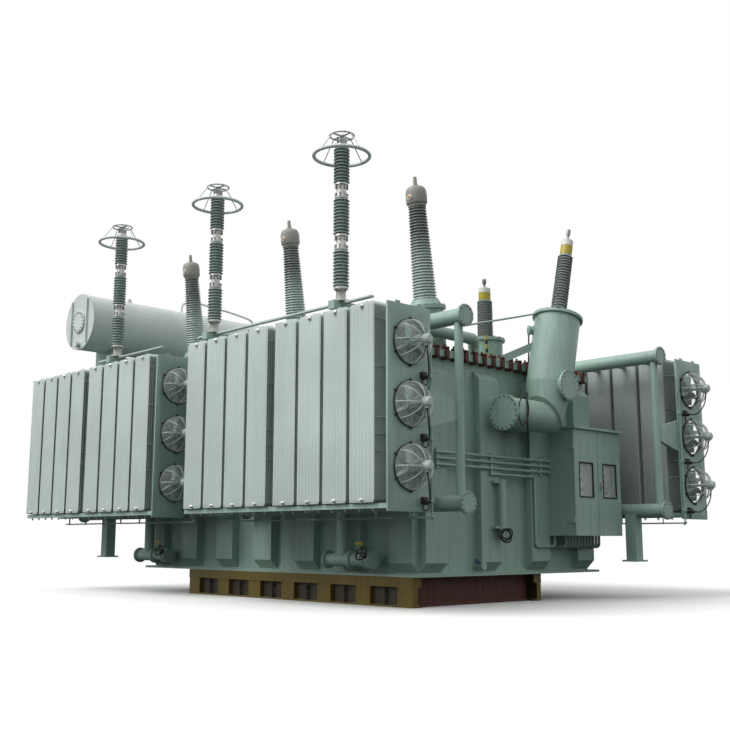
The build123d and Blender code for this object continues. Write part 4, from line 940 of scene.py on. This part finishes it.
class FlangeBolts(bpy.types.Operator):
    """Model the bolt heads around the flanges"""
    bl_idname = "transformer.flange_bolts"
    bl_label = "Flange bolts"

    def execute(self, context):
        bolts = []
        for x_end, y in ((4.191, -1.710), (-1.654, -1.710), (4.391, 3.370), (-1.454, 3.370)):
            for z in (4.276, 1.534):
                bolts.append(bolt_circle("bolts", (x_end, y, z), (1, 0, 0), 0.142, 12, 0.015, 0.014))
        for x in PHASE_X:
            axis = Vector((0, math.sin(HV_LEAN), math.cos(HV_LEAN)))
            base = Vector((x, HV_BASE[0], HV_BASE[1]))
            bolts.append(bolt_circle("bolts", base - axis * 0.110, axis, 0.308, 16, 0.016))
        lean = Vector((0, math.sin(ELBOW_LEAN), math.cos(ELBOW_LEAN)))
        bolts.append(bolt_circle("bolts", ELBOW_TOP, lean, 0.412, 20, 0.017))
        bolts.append(bolt_circle("bolts", (3.450, 0.037, 3.051), (0, -1, 0), 0.262, 18, 0.016))
        bolts.append(bolt_circle("bolts", (3.880, 1.285, 3.577), (1, 0, 0), 0.238, 18, 0.015))
        bolts.append(bolt_circle("bolts", COVER_TURRET_TOP, (0, 0, 1), 0.322, 16, 0.016))
        x, z = CONSERVATOR[:2]
        bolts.append(bolt_circle("bolts", (x, -2.438, z), (0, -1, 0), 0.205, 16, 0.014))
        bolts.append(bolt_circle("bolts", (x, 4.098, z), (0, 1, 0), 0.205, 16, 0.014))
        finish(joined("flange_bolts", bolts), ROOT, MATERIALS["bolt"])
        return {"FINISHED"}


class CoverClamps(bpy.types.Operator):
    """Model the clamps that hold the cover flange"""
    bl_idname = "transformer.cover_clamps"
    bl_label = "Cover clamps"

    def execute(self, context):
        low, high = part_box("tank_cover")
        bottom, top = 3.880, high.z + 0.030
        clamps = []
        count_x, count_y = 32, 19
        for y, out in ((low.y, -1), (high.y, 1)):
            clamp = self.model((low.x + 0.20, y, bottom), (0, out, 0), top - bottom)
            clamps.append(repeated(clamp, count_x, ((high.x - low.x - 0.40) / (count_x - 1), 0, 0)))
        for x, out in ((low.x, -1), (high.x, 1)):
            clamp = self.model((x, low.y + 0.20, bottom), (out, 0, 0), top - bottom)
            clamps.append(repeated(clamp, count_y, (0, (high.y - low.y - 0.40) / (count_y - 1), 0)))
        finish(joined("cover_clamps", clamps), ROOT, MATERIALS["clamp"])
        return {"FINISHED"}

    def model(self, foot, out, tall):
        """One C-shaped clamp with its screw, its back just outside the flange."""
        foot, out = Vector(foot), Vector(out)
        side = Vector((-out.y, out.x, 0))

        def part(a0, a1, s, z0, z1):
            one, two = foot + out * a0 - side * s, foot + out * a1 + side * s
            low = [min(p, q) for p, q in zip(one, two)]
            high = [max(p, q) for p, q in zip(one, two)]
            low[2], high[2] = foot.z + z0, foot.z + z1
            return block("clamp", low, high, 0.006)

        pieces = [part(0.003, 0.040, 0.040, 0.0, tall), part(-0.075, 0.040, 0.040, tall - 0.030, tall + 0.020),
                  part(-0.075, 0.040, 0.040, -0.010, 0.024)]
        seat = foot - out * 0.045
        pieces.append(bar("screw", seat + Vector((0, 0, tall)), seat + Vector((0, 0, tall + 0.060)), 0.018, 6))
        return joined("clamp", pieces)


class CabinetFurniture(bpy.types.Operator):
    """Model the window gaskets, handles and instruments of the cabinet"""
    bl_idname = "transformer.cabinet_furniture"
    bl_label = "Cabinet furniture"

    def execute(self, context):
        for name in ("left", "right"):
            low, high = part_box(f"cabinet_{name}_window")
            strips = [self.strip(low.y - 0.016, high.y + 0.016, low.z - 0.016, low.z + 0.008),
                      self.strip(low.y - 0.016, high.y + 0.016, high.z - 0.008, high.z + 0.016),
                      self.strip(low.y - 0.016, low.y + 0.008, low.z + 0.008, high.z - 0.008),
                      self.strip(high.y - 0.008, high.y + 0.016, low.z + 0.008, high.z - 0.008)]
            body = f"cabinet_{name}_door"
            finish(joined(f"window_gasket_{name}", strips), body, MATERIALS["black"])
        y = 2.504
        handle = [block("plate", (3.600, y - 0.022, 1.860), (3.609, y + 0.022, 2.060), 0.004),
                  block("lever", (3.609, y - 0.012, 1.900), (3.634, y + 0.012, 2.030), 0.006)]
        finish(joined("door_handle", handle), "cabinet_right_door", MATERIALS["metal"])
        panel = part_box("cabinet_panel")[1].x
        dials, labels = [], []
        for r in range(4):
            for c in range(3):
                place = Vector((panel, 2.70 + c * 0.105, 1.84 + r * 0.105))
                dials.append(block("meter", place + Vector((-0.002, -0.040, -0.036)),
                                   place + Vector((0.020, 0.040, 0.036)), 0.005))
                labels.append(block("scale", place + Vector((0.018, -0.028, -0.010)),
                                    place + Vector((0.0215, 0.028, 0.024)), 0.001))
        for y, z in ((1.98, 2.20), (2.12, 2.20), (2.05, 2.06), (2.17, 2.06)):
            dials.append(block("switch", (panel - 0.002, y - 0.030, z - 0.030),
                               (panel + 0.018, y + 0.030, z + 0.030), 0.005))
        for i in range(4):
            knob = Vector((panel, 1.96 + i * 0.085, 1.88))
            dials.append(turned("knob", [(0, 0.024), (0.012, 0.024), (0.014, 0.013), (0.034, 0.012)],
                                knob, (1, 0, 0), 16))
        finish(joined("cabinet_scales", labels), ROOT, MATERIALS["white"])
        finish(joined("cabinet_instruments", dials), ROOT, MATERIALS["black"])
        return {"FINISHED"}

    def strip(self, left, right, bottom, top):
        """One strip of a window's rubber gasket on the door's face."""
        face = 3.601
        return block("gasket", (face - 0.012, left, bottom), (face + 0.008, right, top), 0.004)


class Valves(bpy.types.Operator):
    """Model the valves on the drain lines, the tank wall and the elbow turret"""
    bl_idname = "transformer.valves"
    bl_label = "Valves"

    def execute(self, context):
        dark, tags, blue, plain = [], [], [], []
        for x in (2.150, -3.560):
            y, z = -1.710, 0.700
            plain.append(turned("valve", [(0, 0.112), (0.02, 0.146), (0.07, 0.148), (0.09, 0.112)],
                                (x - 0.02, y, z), (1, 0, 0), 20))
            tip = Vector((x + 0.02, y - 0.20, z + 0.10))
            plain.append(bar("stem", (x + 0.02, y, z), tip, 0.026, 12))
            toward = Vector((0, -0.9, 0.45))
            dark.append(hoop("wheel", tip, toward, 0.105, 0.013, 28, 8))
            dark.append(around(bar("spoke", tip, tip + Vector((0.103, 0, 0)), 0.009, 6), 4, tip, toward))
            dark.append(turned("gland", [(0, 0.05), (0.05, 0.05), (0.06, 0.035)], tip - toward * 0.10, toward, 14))
            tags.append(block("tag", tip + Vector((-0.12, -0.02, 0.130)), tip + Vector((0.06, -0.008, 0.175)), 0.003))
            hook = tip + Vector((-0.03, -0.012, 0.02))
            tags.append(bar("hanger", hook, hook + Vector((0, 0, 0.13)), 0.005, 6))
            plain.append(turned("blank", [(0, 0.10), (0.015, 0.10), (0.015, 0.05), (0.04, 0.05)],
                                (x - 0.980, y, z), (-1, 0, 0), 20))
        place = Vector((2.905, -0.077, 0.600))
        profile = [(0, 0.07), (0.03, 0.07), (0.03, 0.04), (0.16, 0.04), (0.16, 0.065), (0.19, 0.065)]
        plain.append(turned("drain", profile, place, (1, 0, 0), 16))
        blue.append(hoop("wheel", place + Vector((0.075, 0, 0.075)), (0.5, -0.4, 0.75), 0.058, 0.012, 24, 8))
        blue.append(bar("spoke", place + Vector((0.075, 0, 0.075)) - Vector((0.045, 0.03, -0.014)),
                        place + Vector((0.075, 0, 0.075)) + Vector((0.045, 0.03, -0.014)), 0.009, 8))
        dark.append(bar("stem", place + Vector((0.075, 0, 0)), place + Vector((0.075, 0, 0.065)), 0.02, 10))
        valve = Vector((3.220, 1.300, 4.610))
        toward = Vector((-0.62, -0.78, 0))
        profile = [(0, 0.05), (0.05, 0.05), (0.05, 0.085), (0.075, 0.085), (0.075, 0.072), (0.13, 0.072),
                   (0.13, 0.088), (0.155, 0.088), (0.165, 0.060)]
        plain.append(turned("relief", profile, valve, toward, 20))
        route = ((3.120, 1.195, 4.560), (3.126, 1.185, 4.440), (3.140, 1.150, 4.080), (3.150, 1.090, 3.640),
                 (3.250, 0.930, 3.420), (3.450, 0.660, 3.351), (3.665, 0.390, 3.266), (3.752, 0.285, 3.061),
                 (3.700, 0.340, 2.830), (3.430, 0.700, 2.560), (3.160, 1.040, 2.430), (3.115, 1.090, 2.390))
        dark.append(tube("elbow_lead", route, 0.013))
        loop = oval((3.735, 0.200, 3.062), (0.004, 0.130, 0), (0.006, 0.010, 0.235))
        dark.append(tube("spare_loop", loop, 0.011, True))
        for tilt, wide in ((-0.02, 0.112), (0.018, 0.098), (0.0, 0.082)):
            hang = Vector((3.222 + tilt, 0.326, 1.195 - wide))
            loop = oval(hang, (wide * 0.60, wide * 0.72, tilt), (tilt, 0, wide))
            dark.append(tube("breather_hose", loop, 0.012, True))
        for i in range(5):
            low, high = (i / 5, (i + 1) / 5)
            a, b = Vector((2.740, 0.520, 4.100)), Vector((2.740, 0.500, 4.480))
            (tags if i % 2 == 0 else dark).append(bar("marker", a.lerp(b, low), a.lerp(b, high), 0.024, 10))
        dark.append(bar("marker_foot", (2.740, 0.520, 4.028), (2.740, 0.520, 4.105), 0.014, 8))
        finish(joined("valve_bodies", plain), ROOT, MATERIALS["tank"])
        finish(joined("valve_wheels_and_leads", dark), ROOT, MATERIALS["black"])
        finish(joined("valve_tags", tags), ROOT, MATERIALS["tag"])
        finish(joined("drain_lever", blue), ROOT, MATERIALS["blue"])
        return {"FINISHED"}


class ConservatorPipes(bpy.types.Operator):
    """Model the filling loop and gauge pipes on the conservator"""
    bl_idname = "transformer.conservator_pipes"
    bl_label = "Conservator pipes"

    def execute(self, context):
        x, z, radius = CONSERVATOR
        top = z + radius
        run = ((x, 0.20, top - 0.02), (x, 0.20, top + 0.12), (x, 0.24, top + 0.24), (x, 0.55, top + 0.31),
               (x, 1.10, top + 0.27), (x, 1.65, top + 0.22), (x, 2.20, top + 0.14), (x, 2.30, top + 0.08),
               (x, 2.30, top - 0.02))
        pipes = [tube("pipe", run, 0.026)]
        pipes.append(turned("valve", [(-0.06, 0.05), (-0.05, 0.07), (0.05, 0.07), (0.06, 0.05)],
                            (x, 0.60, top + 0.298), (0, 1, 0), 16))
        pipes.append(turned("cap", [(0, 0.07), (0.03, 0.07), (0.03, 0.045), (0.10, 0.045), (0.11, 0.03)],
                            (x, -1.2, top - 0.01), (0, 0, 1), 16))
        pipes.append(turned("lug", [(0, 0.05), (0.09, 0.05)], (x, 2.9, top - 0.01), (0, 0, 1), 12))
        drain = (x, -2.405, z - radius * 0.82)
        pipes.append(turned("drain", [(0, 0.05), (0.06, 0.05), (0.06, 0.08), (0.09, 0.08)], drain, (0, -1, 0), 16))
        finish(joined("conservator_pipes", pipes), ROOT, MATERIALS["pale"])
        return {"FINISHED"}


class SkidJacks(bpy.types.Operator):
    """Model the jacking screws between the skid's stiffeners"""
    bl_idname = "transformer.skid_jacks"
    bl_label = "Skid jacks"

    def execute(self, context):
        low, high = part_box("skid_front_beam")
        pitch = (high.x - low.x - 0.330) / 6
        first = low.x + 0.330 + (pitch - 0.330) / 2
        rows = []
        for y in (low.y + 0.045, -low.y - 0.045):
            screw = turned("jack", [(0.026, 0.032), (0.050, 0.032), (0.052, 0.018), (0.215, 0.018), (0.216, 0.032),
                                    (0.245, 0.032), (0.246, 0.018), (0.298, 0.018)], (first, y, 0), (0, 0, 1), 12)
            rows.append(repeated(screw, 6, (pitch, 0, 0)))
        finish(joined("skid_jacks", rows), ROOT, MATERIALS["black"])
        return {"FINISHED"}


class Stage(bpy.types.Operator):
    """Set the pale floor, the soft lights and the camera"""
    bl_idname = "transformer.stage"
    bl_label = "Stage"

    def execute(self, context):
        scene = context.scene
        settings = scene.transformer_stage
        clear_selection()
        bpy.ops.mesh.primitive_plane_add(size=400, location=(0, 0, -0.002))
        floor = settle("floor")
        floor.data.materials.append(self.floor_material(tuple(scene.transformer_colours.floor)))
        bpy.ops.object.light_add(type="SUN", location=(-6, -12, 14))
        sun = bpy.context.object
        sun.name = sun.data.name = "soft_sun"
        sun.data.energy, sun.data.angle = settings.sun, math.radians(45)
        sun.rotation_euler = Vector((0.28, 0.66, -0.70)).to_track_quat("-Z", "Y").to_euler()
        self.sky(scene, settings.sky)
        bpy.ops.object.camera_add(location=(13.826, -12.939, 1.006),
                                  rotation=(math.radians(90 + 9.7), math.radians(-0.14), math.radians(46.61)))
        camera = bpy.context.object
        camera.name = camera.data.name = "photo_camera"
        camera.data.lens, camera.data.sensor_width = settings.lens, 36
        camera.data.shift_x = 0.0059
        camera.data.clip_end = 500
        scene.camera = camera
        scene.view_settings.view_transform = "Standard"
        return {"FINISHED"}

    def floor_material(self, base):
        """Pale ground: white to the eye, duller in the light that it throws back up."""
        made, tree, place, shader = start_material("pale_floor")
        cloud = add(tree, "ShaderNodeTexNoise", {"Vector": place, "Scale": 0.5, "Detail": 4.0}).outputs["Fac"]
        seen = blend(tree, cloud, shift_tone(base, 0.985), base)
        direct = seen_straight(tree, False)
        tree.links.new(blend(tree, direct, shift_tone(base, 0.06), seen), shader.inputs["Base Color"])
        shader.inputs["Roughness"].default_value = 0.9
        far = add(tree, "ShaderNodeVectorMath", {0: place}, operation="LENGTH").outputs["Value"]
        white = add(tree, "ShaderNodeEmission", {"Color": (1, 1, 1, 1), "Strength": 1.0})
        fade = add(tree, "ShaderNodeMath", {0: band(tree, far, 9.0, 20.0), 1: direct}, operation="MULTIPLY")
        both = add(tree, "ShaderNodeMixShader", {0: fade.outputs["Value"], 1: shader.outputs["BSDF"], 2: white.outputs["Emission"]})
        tree.links.new(both.outputs["Shader"], tree.nodes["Material Output"].inputs["Surface"])
        return made

    def sky(self, scene, strength):
        """A soft bright sky for the light, plain white where it is seen."""
        world = bpy.data.worlds.new("soft_sky")
        scene.world = world
        world.use_nodes = True
        tree = world.node_tree
        tree.nodes.clear()
        facing = add(tree, "ShaderNodeTexCoord").outputs["Generated"]
        height = add(tree, "ShaderNodeSeparateXYZ", {"Vector": facing}).outputs["Z"]
        tone = blend(tree, band(tree, height, -0.1, 0.9), rgb("#A3AFAF"), rgb("#FFFFFF"))
        light = add(tree, "ShaderNodeBackground", {"Color": tone, "Strength": strength})
        plain = add(tree, "ShaderNodeBackground", {"Color": (1, 1, 1, 1), "Strength": 1.0})
        seen = seen_straight(tree, True)
        both = add(tree, "ShaderNodeMixShader", {0: seen, 1: light.outputs["Background"],
                                                 2: plain.outputs["Background"]})
        add(tree, "ShaderNodeOutputWorld", {"Surface": both.outputs["Shader"]})


OPERATORS = (PaintedNodes, Radiators, RadiatorTies, FanPlates, Rotors, HighVoltageBushings, Arresters,
             LowVoltageBushings, FlangeBolts, CoverClamps, CabinetFurniture, Valves, ConservatorPipes, SkidJacks, Stage)


class TransformerPanel(bpy.types.Panel):
    """The pieces of the transformer and their settings"""
    bl_idname = "VIEW3D_PT_transformer"
    bl_label = "Power transformer"
    bl_space_type = "VIEW_3D"
    bl_region_type = "UI"
    bl_category = "Transformer"

    def draw(self, context):
        scene = context.scene
        for group in (scene.transformer_radiators, scene.transformer_fans, scene.transformer_bushings,
                      scene.transformer_colours, scene.transformer_stage):
            box = self.layout.box()
            for key in group.__annotations__:
                box.prop(group, key)
        for operator in OPERATORS:
            self.layout.operator(operator.bl_idname)


GROUPS = {"transformer_radiators": TransformerRadiators, "transformer_fans": TransformerFans,
          "transformer_bushings": TransformerBushings, "transformer_colours": TransformerColours,
          "transformer_stage": TransformerStage}


def register():
    for group in GROUPS.values():
        bpy.utils.register_class(group)
    for key, group in GROUPS.items():
        setattr(bpy.types.Scene, key, PointerProperty(type=group))
    for operator in OPERATORS:
        bpy.utils.register_class(operator)
    bpy.utils.register_class(TransformerPanel)


def unregister():
    bpy.utils.unregister_class(TransformerPanel)
    for operator in reversed(OPERATORS):
        bpy.utils.unregister_class(operator)
    for key in GROUPS:
        delattr(bpy.types.Scene, key)
    for group in reversed(GROUPS.values()):
        bpy.utils.unregister_class(group)


def main():
    register()
    bpy.ops.transformer.painted_nodes()
    bpy.ops.transformer.radiators()
    bpy.ops.transformer.radiator_ties()
    bpy.ops.transformer.fan_plates()
    bpy.ops.transformer.rotors()
    bpy.ops.transformer.high_voltage_bushings()
    bpy.ops.transformer.arresters()
    bpy.ops.transformer.low_voltage_bushings()
    bpy.ops.transformer.flange_bolts()
    bpy.ops.transformer.cover_clamps()
    bpy.ops.transformer.cabinet_furniture()
    bpy.ops.transformer.valves()
    bpy.ops.transformer.conservator_pipes()
    bpy.ops.transformer.skid_jacks()
    bpy.ops.transformer.stage()


if __name__ == "__main__":
    main()
